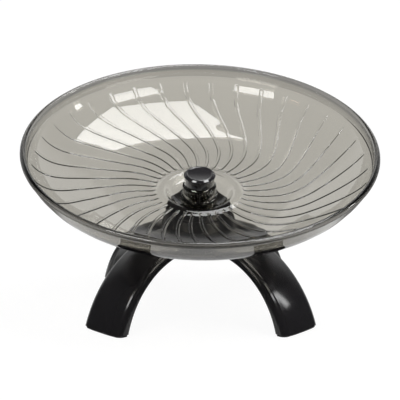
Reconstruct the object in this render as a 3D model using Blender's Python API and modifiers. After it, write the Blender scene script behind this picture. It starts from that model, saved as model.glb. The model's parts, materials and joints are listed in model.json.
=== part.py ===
"""Flying saucer exercise wheel for small pets.

A smoke-clear saucer with thirty-six moulded swirl ribs turns on two ball bearings round a fixed
axle bolt. The axle leans towards the front and stands on a black moulded stand with four arched
legs. Metres, +Z up, the front of the stand towards -Y. The origin is on the floor, under the
middle of the saucer's rim.
"""
import math

import bmesh
import bpy
from mathutils import Matrix, Vector

MM = 0.001
PRODUCT = "flying_saucer_wheel"

# Shared fits and details
FIT_GAP = 0.3 * MM
MERGE_DISTANCE = 0.01 * MM
CUT_OVERRUN = 4.0 * MM
EDGE_CHAMFER = 0.4 * MM

# Saucer, with heights along the leaning axle from the top of the stand's platform
RIM_RADIUS = 152.4 * MM
RIM_HEIGHT = 64.0 * MM
LIP_RADIUS = 2.6 * MM
SAUCER_WALL = 2.0 * MM
HUB_FLOOR_HEIGHT = 12.5 * MM
RIB_ROOT_HEIGHT = 18.3 * MM
TRACK_HEIGHT = 16.6 * MM
BOSS_ROOT_FILLET = 1.2 * MM
SKIRT_RADIUS = 17.8 * MM
# How far out and how high the bowl's inner face goes, between the running track and the rim
BOWL_SHARES = ((0.40, 0.0), (0.50, 0.010), (0.60, 0.071), (0.69, 0.178), (0.77, 0.262), (0.84, 0.389),
               (0.89, 0.505), (0.925, 0.618), (0.95, 0.733), (0.964, 0.842))

# Swirl ribs on the saucer's floor
RIB_COUNT = 36
RIB_WIDTH = 2.8 * MM
RIB_RISE = 1.1 * MM
RIB_TOP_SHARE = 0.5
RIB_NOSE = 1.6 * MM
RIB_INNER_RADIUS = 37.3 * MM
RIB_END_SHARE = 0.9403
SWIRL_ROOT_RADIUS = 45.7 * MM
SWIRL_TURN = math.radians(24.0)
RIB_PHASE = math.radians(4.0)
RIB_STEPS = 8

# Hub tube of the saucer
TUBE_BOTTOM = 3.8 * MM
TUBE_LENGTH = 20.0 * MM
BOSS_RADIUS = 14.7 * MM
BOSS_EDGE_CHAMFER = 1.4 * MM
CAP_RECESS = 1.8 * MM
SHOULDER_INSET = 1.6 * MM

# Ball bearings of the common 8 x 22 x 7 size
BEARING_BORE_RADIUS = 4.0 * MM
BEARING_OUTER_RADIUS = 11.0 * MM
BEARING_WIDTH = 7.0 * MM
BALL_RADIUS = 1.98 * MM
BALL_PITCH_RADIUS = 7.5 * MM
BALL_COUNT = 7
RACE_CLEARANCE = 0.25 * MM
INNER_SHOULDER_RADIUS = 6.05 * MM
OUTER_SHOULDER_RADIUS = 9.2 * MM
SHIELD_THICKNESS = 0.35 * MM
SHIELD_SEAT_DEPTH = 0.5 * MM
SHIELD_SEAT_STEP = 0.7 * MM
CAGE_INSET = 0.5 * MM
CAGE_BASE = 0.6 * MM
CAGE_FINGER_RISE = 1.0 * MM
POCKET_CLEARANCE = 0.2 * MM

# Axle bolt, nut and washers
NUT_ACROSS_FLATS = 13.0 * MM
NUT_HEIGHT = 4.0 * MM
BOLT_HEAD_HEIGHT = 5.3 * MM
SPACER_OUTER_RADIUS = 5.8 * MM
WASHER_THICKNESS = 1.4 * MM
BOLT_END_STAND = 0.6 * MM

# Hub cap
CAP_HEADROOM = 3.1 * MM
CAP_RADIUS = 13.75 * MM
CAP_WAIST_INSET = 0.7 * MM
CAP_EDGE_CHAMFER = 0.9 * MM
CAP_BRIM_HEIGHT = 2.4 * MM
CAP_WALL = 1.6 * MM
CAP_DIMPLE_DEPTH = 0.4 * MM
CAP_DIMPLE_INSET = 3.2 * MM
CAP_SKIRT_DEPTH = 1.2 * MM

# Stand
LEAN = math.radians(20.0)
PLATFORM_HEIGHT = 86.9 * MM
PLATFORM_RADIUS = 28.3 * MM
PLATFORM_THICKNESS = 4.0 * MM
PLATFORM_EDGE = 1.5 * MM
LEGS_AHEAD = 4.7 * MM
FRONT_LEG_AZIMUTH = math.radians(45.0)
BACK_LEG_AZIMUTH = math.radians(37.0)
LEG_WIDTH = 45.7 * MM
LEG_WALL = 3.0 * MM
LEG_CROWN = 1.0 * MM
LEG_EDGE_RADIUS = 6.8 * MM
ARCH_TOP = 70.2 * MM
ARCH_RADIUS = 101.5 * MM
FOOT_REACH = 118.3 * MM
UNDER_ARCH_SHARE = 0.7507
LEG_DEPTH_TOP = 12.4 * MM
LEG_DEPTH_FOOT = 11.0 * MM
LEG_START = 9.0 * MM
LEG_STEPS = 10
FOOT_BLOCK_STEPS = 1
FOOT_RECESS = 0.8 * MM
CROWN_SHARES = (0.0, 0.5, 1.0)
EDGE_SHARES = (1 / 3, 2 / 3, 1.0)
TURRET_FLARE = 8.5 * MM
TURRET_WALL = 3.2 * MM
TURRET_SHARES = (0.25, 0.5, 0.75, 1.0)
BOLT_BOSS_WALL = 3.0 * MM

# Foot pads
PAD_THICKNESS = 1.5 * MM
PAD_INSET = 0.8 * MM

# Facets
FINE_SEGMENTS = 32
HUB_SEGMENTS = 18
BALL_SEGMENTS = 8
BALL_RINGS = 5
RACE_STEPS = 3
LIP_STEPS = 5
LIP_TURN = math.radians(225.0)
FILLET_TURN = math.radians(45.0)
SHARP_ANGLE = math.radians(35.0)

# Sizes that follow from the ones above
RIB_OUTER_RADIUS = RIM_RADIUS * RIB_END_SHARE
UNDER_ARCH_RADIUS = ARCH_RADIUS * UNDER_ARCH_SHARE
TUBE_TOP = TUBE_BOTTOM + TUBE_LENGTH
SEAT_RADIUS = BEARING_OUTER_RADIUS + FIT_GAP
SHOULDER_RADIUS = SEAT_RADIUS - SHOULDER_INSET
AXLE_RADIUS = BEARING_BORE_RADIUS - FIT_GAP
LOWER_BEARING_MIDDLE = TUBE_BOTTOM + BEARING_WIDTH / 2
UPPER_BEARING_MIDDLE = TUBE_TOP - CAP_RECESS - BEARING_WIDTH / 2
LOWER_SHOULDER_HEIGHT = LOWER_BEARING_MIDDLE + BEARING_WIDTH / 2 + FIT_GAP
UPPER_SHOULDER_HEIGHT = UPPER_BEARING_MIDDLE - BEARING_WIDTH / 2 - FIT_GAP
LIP_MIDDLE_HEIGHT = RIM_HEIGHT - LIP_RADIUS
WASHER_BOTTOM = UPPER_BEARING_MIDDLE + BEARING_WIDTH / 2 + FIT_GAP
NUT_BOTTOM = WASHER_BOTTOM + WASHER_THICKNESS + FIT_GAP
BOLT_END = NUT_BOTTOM + NUT_HEIGHT + BOLT_END_STAND
CAP_TOP_HEIGHT = BOLT_END + CAP_HEADROOM + CAP_WALL + CAP_DIMPLE_DEPTH
PLATFORM_Y = LIP_MIDDLE_HEIGHT * math.sin(LEAN)
STAND_Y = PLATFORM_Y - LEGS_AHEAD
FOOT_PLANE = PAD_THICKNESS + FIT_GAP


def clear_scene():
    """Removes every object, so that the model starts from nothing."""
    for found in list(bpy.data.objects):
        bpy.data.objects.remove(found, do_unlink=True)


def new_collection(name):
    """Adds a collection to the scene."""
    collection = bpy.data.collections.new(name)
    bpy.context.scene.collection.children.link(collection)
    return collection


def plastic_or_metal(name, colour, roughness, metallic=0.0, alpha=1.0, transmission=0.0):
    """Makes a material from one Principled shader."""
    material = bpy.data.materials.new(name)
    material.use_nodes = True
    shader = material.node_tree.nodes["Principled BSDF"]
    shader.inputs["Base Color"].default_value = (*colour, 1.0)
    shader.inputs["Roughness"].default_value = roughness
    shader.inputs["Metallic"].default_value = metallic
    shader.inputs["Alpha"].default_value = alpha
    shader.inputs["Transmission Weight"].default_value = transmission
    return material


def place(name, mesh, collection, material, parent=None):
    """Links a mesh as a named object and hangs it on its parent."""
    placed = bpy.data.objects.new(name, mesh)
    collection.objects.link(placed)
    placed.parent = parent
    mesh.materials.append(material)
    return placed


def make_cutter(found):
    """Marks an object as a tool that shapes another one."""
    found.hide_render = True
    found.display_type = "WIRE"
    return found


def shade_round(mesh):
    """Shades a mesh smooth and keeps its corners sharp."""
    mesh.shade_smooth()
    mesh.set_sharp_from_angle(angle=SHARP_ANGLE)


def turned(name, profile, closed, collection, material, parent, segments=HUB_SEGMENTS):
    """Turns a profile of radius and height about the local Z axis, outer side listed downwards."""
    mesh = bpy.data.meshes.new(name)
    points = [(radius, 0.0, height) for radius, height in profile]
    edges = [(i, i + 1) for i in range(len(points) - 1)]
    if closed:
        edges.append((len(points) - 1, 0))
    mesh.from_pydata(points, edges, [])
    made = place(name, mesh, collection, material, parent)
    screw = made.modifiers.new("turn", "SCREW")
    screw.axis = "Z"
    screw.steps = segments
    screw.render_steps = segments
    screw.use_merge_vertices = True
    screw.merge_threshold = MERGE_DISTANCE
    screw.use_smooth_shade = False
    return made


def ring_profile(inner, outer, bottom, top, chamfer=0.0):
    """Closed profile of a plain ring, with its two outer corners taken off."""
    if chamfer == 0.0:
        return [(outer, top), (outer, bottom), (inner, bottom), (inner, top)]
    return [(outer - chamfer, top), (outer, top - chamfer), (outer, bottom + chamfer),
            (outer - chamfer, bottom), (inner, bottom), (inner, top)]


def prism(name, sides, radius, bottom, top, collection, material, parent):
    """Upright prism or cylinder between two heights, from a cone primitive with equal ends."""
    shape = bmesh.new()
    bmesh.ops.create_cone(shape, cap_ends=True, segments=sides, radius1=radius, radius2=radius,
                          depth=top - bottom, matrix=Matrix.Translation((0, 0, (top + bottom) / 2)))
    mesh = bpy.data.meshes.new(name)
    shape.to_mesh(mesh)
    shape.free()
    return place(name, mesh, collection, material, parent)


def boolean(target, tool, operation):
    """Joins a tool to a solid or cuts it away."""
    step = target.modifiers.new(tool.name, "BOOLEAN")
    step.operation = operation
    step.solver = "EXACT"
    step.object = tool
    return step


def swirl_angle(radius):
    """Turn of a rib at a radius: none at its outer end, the whole swirl near its root."""
    reach = max(radius, RIB_INNER_RADIUS) - SWIRL_ROOT_RADIUS
    share = min(reach / (RIB_OUTER_RADIUS - SWIRL_ROOT_RADIUS), 1.0)
    return RIB_PHASE - SWIRL_TURN * (1.0 + math.cos(math.pi * share)) / 2


def bowl_points():
    """Inner face of the bowl from the running track to the lip, as radius and height."""
    return [(RIM_RADIUS * out, TRACK_HEIGHT + (RIM_HEIGHT - TRACK_HEIGHT) * up)
            for out, up in BOWL_SHARES]


def bowl_curve():
    """Knots of the floor and bowl with their slopes, so that a cubic between them never overshoots."""
    knots = [(BOSS_RADIUS + BOSS_ROOT_FILLET, HUB_FLOOR_HEIGHT), (RIB_INNER_RADIUS, RIB_ROOT_HEIGHT)]
    knots += bowl_points()
    slopes = [(b[1] - a[1]) / (b[0] - a[0]) for a, b in zip(knots, knots[1:])]
    tangents = [0.0]
    for before, after in zip(slopes, slopes[1:]):
        tangents.append(2 * before * after / (before + after) if before * after > 0 else 0.0)
    tangents.append(slopes[-1])
    return knots, tangents


def bowl_height(radius):
    """Height of the saucer's upper face at a radius."""
    knots, tangents = bowl_curve()
    if radius <= knots[0][0]:
        return knots[0][1]
    for index in range(len(knots) - 1):
        (r0, z0), (r1, z1) = knots[index], knots[index + 1]
        if radius <= r1 or index == len(knots) - 2:
            break
    span = r1 - r0
    t = (radius - r0) / span
    rise = tangents[index] * span
    fall = tangents[index + 1] * span
    return ((2 * t**3 - 3 * t**2 + 1) * z0 + (t**3 - 2 * t**2 + t) * rise
            + (3 * t**2 - 2 * t**3) * z1 + (t**3 - t**2) * fall)


def rib_radii():
    """Radii of the rows that carry the ribs, closer together where the bowl turns up."""
    first = RIB_INNER_RADIUS + RIB_NOSE
    last = RIB_OUTER_RADIUS - RIB_NOSE
    return [first + (last - first) * math.sin(math.pi / 2 * step / RIB_STEPS)
            for step in range(RIB_STEPS + 1)]


def lip_points():
    """Round lip from the bowl's inner face, over the top, to the outer wall."""
    middle = RIM_RADIUS - LIP_RADIUS
    return [(middle + LIP_RADIUS * math.cos(math.pi - LIP_TURN * step / LIP_STEPS),
             LIP_MIDDLE_HEIGHT + LIP_RADIUS * math.sin(math.pi - LIP_TURN * step / LIP_STEPS))
            for step in range(LIP_STEPS + 1)]


def underside_points():
    """Lower face of the saucer from the lip to the hub, one wall below the upper face."""
    points = []
    inner_face = bowl_points()
    for radius, height in reversed(inner_face[:1] + inner_face[2:-1]):
        step = LIP_RADIUS / 2
        slope = (bowl_height(radius + step) - bowl_height(radius - step)) / LIP_RADIUS
        normal = Vector((slope, -1.0)).normalized() * SAUCER_WALL
        points.append((radius + normal.x, height + normal.y))
    points.append((RIB_INNER_RADIUS, RIB_ROOT_HEIGHT - SAUCER_WALL))
    return points


def column_angles(columns, radius):
    """Angles within one rib's sector of a row's columns: one, two, or five across a rib."""
    half_sector = math.pi / RIB_COUNT
    if columns == 1:
        return [0.0]
    if columns == 2:
        return [0.0, half_sector]
    edge = RIB_WIDTH / 2 / radius
    crest = edge * RIB_TOP_SHARE
    return [-edge, -crest, crest, edge, half_sector]


def add_row(shape, radius, height, columns, rise=0.0):
    """Adds one closed row of points round the axis, raised by the rib's rise on its crest."""
    row = []
    for sector in range(RIB_COUNT):
        for index, angle in enumerate(column_angles(columns, radius)):
            turn = sector * 2 * math.pi / RIB_COUNT + angle
            lift = rise if columns > 2 and index in (1, 2) else 0.0
            theta = turn + swirl_angle(radius)
            vert = shape.verts.new((radius * math.sin(theta), -radius * math.cos(theta), height + lift))
            row.append((turn, vert))
    return row


def stitch(shape, low, high):
    """Joins two closed rows of unlike counts, always from the row whose next point comes first."""
    full = 2 * math.pi
    low_run = low + [(low[0][0] + full, low[0][1])]
    high_run = high + [(high[0][0] + full, high[0][1])]
    i = j = 0
    while i < len(low) or j < len(high):
        take_low = j == len(high) or (i < len(low) and low_run[i + 1][0] <= high_run[j + 1][0])
        if take_low:
            shape.faces.new((low_run[i][1], low_run[i + 1][1], high_run[j][1]))
            i += 1
        else:
            shape.faces.new((low_run[i][1], high_run[j + 1][1], high_run[j][1]))
            j += 1


def saucer_rows():
    """Rows of the saucer's closed skin in order, as radius, height, columns and rib rise."""
    fillet = BOSS_ROOT_FILLET
    rows = [(SEAT_RADIUS, TUBE_TOP, 1, 0.0),
            (BOSS_RADIUS - BOSS_EDGE_CHAMFER, TUBE_TOP, 1, 0.0),
            (BOSS_RADIUS, TUBE_TOP - BOSS_EDGE_CHAMFER, 1, 0.0),
            (BOSS_RADIUS, HUB_FLOOR_HEIGHT + fillet, 1, 0.0),
            (BOSS_RADIUS + fillet * (1 - math.cos(FILLET_TURN)),
             HUB_FLOOR_HEIGHT + fillet * (1 - math.sin(FILLET_TURN)), 1, 0.0),
            (BOSS_RADIUS + fillet, HUB_FLOOR_HEIGHT, 1, 0.0),
            (RIB_INNER_RADIUS, RIB_ROOT_HEIGHT, 2, 0.0)]
    rows += [(radius, bowl_height(radius), 5, RIB_RISE) for radius in rib_radii()]
    rows.append((RIB_OUTER_RADIUS, bowl_height(RIB_OUTER_RADIUS), 2, 0.0))
    rows += [(radius, height, 2, 0.0) for radius, height in bowl_points()[-1:] + lip_points()]
    rows += [(radius, height, 2, 0.0) for radius, height in underside_points()]
    rows += [(SKIRT_RADIUS + EDGE_CHAMFER, HUB_FLOOR_HEIGHT - SAUCER_WALL, 1, 0.0),
             (SKIRT_RADIUS, HUB_FLOOR_HEIGHT - SAUCER_WALL - EDGE_CHAMFER, 1, 0.0),
             (SKIRT_RADIUS, TUBE_BOTTOM, 1, 0.0),
             (SEAT_RADIUS, TUBE_BOTTOM, 1, 0.0),
             (SEAT_RADIUS, LOWER_SHOULDER_HEIGHT, 1, 0.0),
             (SHOULDER_RADIUS, LOWER_SHOULDER_HEIGHT, 1, 0.0),
             (SHOULDER_RADIUS, UPPER_SHOULDER_HEIGHT, 1, 0.0),
             (SEAT_RADIUS, UPPER_SHOULDER_HEIGHT, 1, 0.0)]
    return rows


def build_saucer(collection, material, parent):
    """Saucer with its hub tube, ribs and lip, as one closed skin of stitched rows."""
    shape = bmesh.new()
    rows = [add_row(shape, *row) for row in saucer_rows()]
    for low, high in zip(rows, rows[1:] + rows[:1]):
        stitch(shape, low, high)
    bmesh.ops.recalc_face_normals(shape, faces=shape.faces)
    mesh = bpy.data.meshes.new("saucer")
    shape.to_mesh(mesh)
    shape.free()
    shade_round(mesh)
    return place("saucer", mesh, collection, material, parent)


def build_hub_cap(collection, material, parent):
    """Snap-on cap with an overhanging brim, a dished top and a short skirt in the hub's mouth."""
    waist = CAP_RADIUS - CAP_WAIST_INSET
    inner = waist - CAP_WALL
    seat = TUBE_TOP + FIT_GAP
    skirt_outer = SEAT_RADIUS - FIT_GAP
    skirt_inner = skirt_outer - CAP_WALL
    dimple = CAP_RADIUS - CAP_DIMPLE_INSET
    profile = [(0.0, CAP_TOP_HEIGHT - CAP_DIMPLE_DEPTH),
               (dimple - CAP_DIMPLE_DEPTH, CAP_TOP_HEIGHT - CAP_DIMPLE_DEPTH),
               (dimple, CAP_TOP_HEIGHT),
               (CAP_RADIUS - CAP_EDGE_CHAMFER, CAP_TOP_HEIGHT),
               (CAP_RADIUS, CAP_TOP_HEIGHT - CAP_EDGE_CHAMFER),
               (CAP_RADIUS, CAP_TOP_HEIGHT - CAP_BRIM_HEIGHT),
               (waist, CAP_TOP_HEIGHT - CAP_BRIM_HEIGHT - CAP_WAIST_INSET),
               (waist, seat),
               (skirt_outer, seat),
               (skirt_outer, TUBE_TOP - CAP_SKIRT_DEPTH),
               (skirt_inner, TUBE_TOP - CAP_SKIRT_DEPTH),
               (skirt_inner, seat + CAP_WALL),
               (inner, seat + CAP_WALL + CAP_WAIST_INSET),
               (inner, CAP_TOP_HEIGHT - CAP_WALL - CAP_DIMPLE_DEPTH),
               (0.0, CAP_TOP_HEIGHT - CAP_WALL - CAP_DIMPLE_DEPTH)]
    return turned("hub_cap", profile, False, collection, material, parent, FINE_SEGMENTS)


def groove(side):
    """Half-round race as radius and height from the top down, on the inner (-1) or outer (+1) ring."""
    depth = BALL_RADIUS + RACE_CLEARANCE
    shoulder = OUTER_SHOULDER_RADIUS if side > 0 else INNER_SHOULDER_RADIUS
    half = math.acos(abs(shoulder - BALL_PITCH_RADIUS) / depth)
    points = []
    for step in range(RACE_STEPS + 1):
        angle = half - 2 * half * step / RACE_STEPS
        points.append((BALL_PITCH_RADIUS + side * depth * math.cos(angle), depth * math.sin(angle)))
    return points


def build_bearing(prefix, middle, collection, cutters, steel, nylon, axis):
    """One shielded ball bearing: two rings, seven balls, their cage and two shields."""
    half = BEARING_WIDTH / 2
    seat = half - SHIELD_SEAT_DEPTH
    seat_radius = OUTER_SHOULDER_RADIUS + SHIELD_SEAT_STEP
    outer = [(BEARING_OUTER_RADIUS - EDGE_CHAMFER, half), (BEARING_OUTER_RADIUS, half - EDGE_CHAMFER),
             (BEARING_OUTER_RADIUS, EDGE_CHAMFER - half), (BEARING_OUTER_RADIUS - EDGE_CHAMFER, -half),
             (seat_radius, -half), (seat_radius, -seat), (OUTER_SHOULDER_RADIUS, -seat)]
    outer += list(reversed(groove(1))) + [(OUTER_SHOULDER_RADIUS, seat), (seat_radius, seat),
                                          (seat_radius, half)]
    inner = [(INNER_SHOULDER_RADIUS, half)] + groove(-1) + [(INNER_SHOULDER_RADIUS, -half),
                                                            (BEARING_BORE_RADIUS, -half),
                                                            (BEARING_BORE_RADIUS, half)]
    made = [turned(f"{prefix}_bearing_outer_ring", outer, True, collection, steel, axis),
            turned(f"{prefix}_bearing_inner_ring", inner, True, collection, steel, axis)]
    shield_inner = INNER_SHOULDER_RADIUS + FIT_GAP
    shield_outer = seat_radius - FIT_GAP
    for side, sign in (("upper", 1), ("lower", -1)):
        low, high = sorted((sign * (half - SHIELD_THICKNESS), sign * half))
        shield = ring_profile(shield_inner, shield_outer, low, high)
        made.append(turned(f"{prefix}_bearing_{side}_shield", shield, True, collection, steel, axis))
    ball = bmesh.new()
    bmesh.ops.create_uvsphere(ball, u_segments=BALL_SEGMENTS, v_segments=BALL_RINGS, radius=BALL_RADIUS)
    ball_mesh = bpy.data.meshes.new(f"{prefix}_bearing_ball")
    ball.to_mesh(ball_mesh)
    ball.free()
    shade_round(ball_mesh)
    pockets = bmesh.new()
    for index in range(BALL_COUNT):
        turn = 2 * math.pi * index / BALL_COUNT
        spot = Vector((BALL_PITCH_RADIUS * math.cos(turn), BALL_PITCH_RADIUS * math.sin(turn), 0))
        bmesh.ops.create_uvsphere(pockets, u_segments=BALL_SEGMENTS, v_segments=BALL_RINGS,
                                  radius=BALL_RADIUS + POCKET_CLEARANCE, matrix=Matrix.Translation(spot))
        placed = bpy.data.objects.new(f"{prefix}_bearing_ball_{index + 1}", ball_mesh)
        collection.objects.link(placed)
        placed.parent = axis
        placed.location = spot + Vector((0, 0, middle))
    ball_mesh.materials.append(steel)
    pocket_mesh = bpy.data.meshes.new(f"{prefix}_ball_pockets")
    pockets.to_mesh(pocket_mesh)
    pockets.free()
    cage_bottom = -(BALL_RADIUS + POCKET_CLEARANCE + CAGE_BASE)
    cage = turned(f"{prefix}_bearing_cage",
                  ring_profile(INNER_SHOULDER_RADIUS + CAGE_INSET, OUTER_SHOULDER_RADIUS - CAGE_INSET,
                               cage_bottom, CAGE_FINGER_RISE),
                  True, collection, nylon, axis)
    pocket_tool = make_cutter(place(f"{prefix}_ball_pockets", pocket_mesh, cutters, nylon, axis))
    boolean(cage, pocket_tool, "DIFFERENCE")
    made.append(cage)
    for found in made + [pocket_tool]:
        found.location = (0, 0, middle)


def hexagon_radius(across_flats):
    """Corner radius of a hexagon from its width across the flats."""
    return across_flats / 2 / math.cos(math.pi / 6)


def build_axle_set(collection, cutters, steel, parent):
    """Axle bolt, the two spacers on it, and the washer and lock nut at its upper end."""
    head_top = -PLATFORM_THICKNESS - FIT_GAP
    bolt = turned("axle_bolt", [(0.0, BOLT_END), (AXLE_RADIUS - EDGE_CHAMFER, BOLT_END),
                                (AXLE_RADIUS, BOLT_END - EDGE_CHAMFER),
                                (AXLE_RADIUS, head_top - EDGE_CHAMFER), (0.0, head_top - EDGE_CHAMFER)],
                  False, collection, steel, parent)
    head = make_cutter(prism("axle_bolt_head", 6, hexagon_radius(NUT_ACROSS_FLATS),
                             head_top - BOLT_HEAD_HEIGHT, head_top, cutters, steel, parent))
    boolean(bolt, head, "UNION")
    turned("lower_spacer", ring_profile(BEARING_BORE_RADIUS, SPACER_OUTER_RADIUS, FIT_GAP,
                                        LOWER_BEARING_MIDDLE - BEARING_WIDTH / 2 - FIT_GAP),
           True, collection, steel, parent)
    turned("bearing_spacer", ring_profile(BEARING_BORE_RADIUS, SPACER_OUTER_RADIUS,
                                          LOWER_SHOULDER_HEIGHT, UPPER_SHOULDER_HEIGHT),
           True, collection, steel, parent)
    turned("top_washer", ring_profile(BEARING_BORE_RADIUS, SPACER_OUTER_RADIUS, WASHER_BOTTOM,
                                      WASHER_BOTTOM + WASHER_THICKNESS),
           True, collection, steel, parent)
    nut = prism("lock_nut", 6, hexagon_radius(NUT_ACROSS_FLATS), NUT_BOTTOM, NUT_BOTTOM + NUT_HEIGHT,
                collection, steel, parent)
    bore = make_cutter(prism("lock_nut_bore", HUB_SEGMENTS, BEARING_BORE_RADIUS, NUT_BOTTOM - CUT_OVERRUN,
                             NUT_BOTTOM + NUT_HEIGHT + CUT_OVERRUN, cutters, steel, parent))
    boolean(nut, bore, "DIFFERENCE")


def arch_station(share):
    """Back and open side of a leg at a share of its length, in its own upright plane."""
    back_middle_z = ARCH_TOP - ARCH_RADIUS
    foot_angle = math.asin((FOOT_PLANE - back_middle_z) / ARCH_RADIUS)
    back_middle = Vector((FOOT_REACH - ARCH_RADIUS * math.cos(foot_angle), back_middle_z))
    under_middle_z = ARCH_TOP - LEG_DEPTH_TOP - UNDER_ARCH_RADIUS
    under_foot = math.sqrt(UNDER_ARCH_RADIUS**2 - (FOOT_PLANE - under_middle_z) ** 2)
    under_middle = Vector((FOOT_REACH - LEG_DEPTH_FOOT - under_foot, under_middle_z))
    angle = math.pi / 2 + (foot_angle - math.pi / 2) * share
    back = back_middle + ARCH_RADIUS * Vector((math.cos(angle), math.sin(angle)))
    lean = -math.pi / 2 * (1 + share)
    inward = Vector((math.cos(lean), math.sin(lean)))
    offset = back - under_middle
    along = offset.dot(inward)
    reach = -along - math.sqrt(along**2 - (offset.length_squared - UNDER_ARCH_RADIUS**2))
    return back, back + inward * reach


def leg_outline(depth, web):
    """U-shaped section of a leg as pairs across and inward, round from the crown's middle."""
    half = LEG_WIDTH / 2
    flat = half - LEG_EDGE_RADIUS
    side = [(flat * share, LEG_CROWN * share**2) for share in CROWN_SHARES]
    turns = [math.pi / 2 * share for share in EDGE_SHARES]
    side += [(flat + LEG_EDGE_RADIUS * math.sin(turn), LEG_CROWN + LEG_EDGE_RADIUS * (1 - math.cos(turn)))
             for turn in turns]
    inner = LEG_EDGE_RADIUS - LEG_WALL
    side += [(half, depth), (half - LEG_WALL, depth)]
    hollow = [(flat + inner * math.sin(turn), LEG_CROWN + LEG_EDGE_RADIUS - inner * math.cos(turn))
              for turn in reversed(turns)]
    hollow += [(flat * share, LEG_WALL + LEG_CROWN * share**2) for share in reversed(CROWN_SHARES)]
    side += [(across, deep if web == LEG_WALL else web) for across, deep in hollow]
    return side + [(-across, inward) for across, inward in reversed(side[1:-1])]


def build_leg(name, azimuth, collection, material, parent):
    """One arched leg with a channel open underneath and a closed foot, lofted along its arch."""
    shape = bmesh.new()
    top_back, top_under = arch_station(0.0)
    stations = [(Vector((LEG_START, top_back.y)), Vector((LEG_START, top_under.y)))]
    stations += [arch_station(step / LEG_STEPS) for step in range(LEG_STEPS + 1)]
    rings = []
    for index, (back, under) in enumerate(stations):
        inward = under - back
        depth = inward.length
        inward.normalize()
        closed = index >= len(stations) - 1 - FOOT_BLOCK_STEPS
        outline = leg_outline(depth, depth - FOOT_RECESS if closed else LEG_WALL)
        rings.append([shape.verts.new((back.x + inward.x * deep, across, back.y + inward.y * deep))
                      for across, deep in outline])
    for first, second in zip(rings, rings[1:]):
        for i, point in enumerate(first):
            j = (i + 1) % len(first)
            shape.faces.new((point, first[j], second[j], second[i]))
    shape.faces.new(rings[0])
    shape.faces.new(rings[-1])
    bmesh.ops.recalc_face_normals(shape, faces=shape.faces)
    mesh = bpy.data.meshes.new(name)
    shape.to_mesh(mesh)
    shape.free()
    leg = place(name, mesh, collection, material, parent)
    leg.rotation_euler = (0, 0, azimuth - math.pi / 2)
    return leg


def turret_solid(name, inset, top_drop, bottom_drop, collection, material, parent):
    """Loft from the leaning platform down to a level ring over the legs, inset for its cavity."""
    shape = bmesh.new()
    _, top_under = arch_station(0.0)
    top_middle = Vector((0, PLATFORM_Y - STAND_Y, PLATFORM_HEIGHT))
    bottom_middle = Vector((0, 0, top_under.y - bottom_drop))
    leaning = Matrix.Rotation(LEAN, 4, "X")
    top_middle += leaning @ Vector((0, 0, -top_drop))
    edge = PLATFORM_EDGE if inset == 0.0 else 0.0
    sections = [(top_middle, LEAN, PLATFORM_RADIUS - inset - edge)]
    if edge:
        sections.append((top_middle + leaning @ Vector((0, 0, -edge)), LEAN, PLATFORM_RADIUS))
    for share in TURRET_SHARES:
        middle = top_middle.lerp(bottom_middle, share)
        sections.append((middle, LEAN * (1 - share), PLATFORM_RADIUS - inset + TURRET_FLARE * share))
    rings = []
    for middle, lean, radius in sections:
        spin = Matrix.Rotation(lean, 4, "X")
        turns = [2 * math.pi * step / FINE_SEGMENTS for step in range(FINE_SEGMENTS)]
        spots = [Vector((radius * math.cos(turn), radius * math.sin(turn), 0)) for turn in turns]
        rings.append([shape.verts.new(middle + spin @ spot) for spot in spots])
    for first, second in zip(rings, rings[1:]):
        for i, point in enumerate(first):
            j = (i + 1) % len(first)
            shape.faces.new((point, first[j], second[j], second[i]))
    shape.faces.new(rings[0])
    shape.faces.new(rings[-1])
    bmesh.ops.recalc_face_normals(shape, faces=shape.faces)
    mesh = bpy.data.meshes.new(name)
    shape.to_mesh(mesh)
    shape.free()
    return place(name, mesh, collection, material, parent)


def right_legs():
    """Corners of the two legs on the right with their azimuths from the front."""
    return (("front", FRONT_LEG_AZIMUTH), ("back", math.pi - BACK_LEG_AZIMUTH))


def mirror_right_half(target):
    """Keeps a solid's right half and mirrors it, so that both sides meet in one plane."""
    halves = target.modifiers.new("mirror_right_half", "MIRROR")
    halves.use_axis[0] = True
    halves.use_bisect_axis[0] = True
    halves.use_mirror_merge = True
    halves.merge_threshold = MERGE_DISTANCE / 2
    halves.bisect_threshold = MERGE_DISTANCE / 2


def build_stand(collection, cutters, material, stand_base, spin_axis):
    """Moulded stand: platform turret and four channel legs in one piece, with the bolt's pocket."""
    stand = turret_solid("stand", 0.0, 0.0, 0.0, collection, material, stand_base)
    for corner, azimuth in right_legs():
        leg = make_cutter(build_leg(f"{corner}_right_leg", azimuth, cutters, material, stand_base))
        boolean(stand, leg, "UNION")
    mirror_right_half(stand)
    cavity = make_cutter(turret_solid("turret_cavity", TURRET_WALL, PLATFORM_THICKNESS, CUT_OVERRUN,
                                      cutters, material, stand_base))
    boolean(stand, cavity, "DIFFERENCE")
    pocket_radius = hexagon_radius(NUT_ACROSS_FLATS) + FIT_GAP
    pocket_bottom = -PLATFORM_THICKNESS - BOLT_HEAD_HEIGHT
    boss = make_cutter(prism("bolt_boss", HUB_SEGMENTS, pocket_radius + BOLT_BOSS_WALL, pocket_bottom,
                             -PLATFORM_THICKNESS / 2, cutters, material, spin_axis))
    boolean(stand, boss, "UNION")
    pocket = make_cutter(prism("bolt_head_pocket", 6, pocket_radius, pocket_bottom - CUT_OVERRUN,
                               -PLATFORM_THICKNESS, cutters, material, spin_axis))
    boolean(stand, pocket, "DIFFERENCE")
    hole = make_cutter(prism("axle_hole", HUB_SEGMENTS, BEARING_BORE_RADIUS,
                             -PLATFORM_THICKNESS - CUT_OVERRUN, CUT_OVERRUN, cutters, material, spin_axis))
    boolean(stand, hole, "DIFFERENCE")


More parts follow.
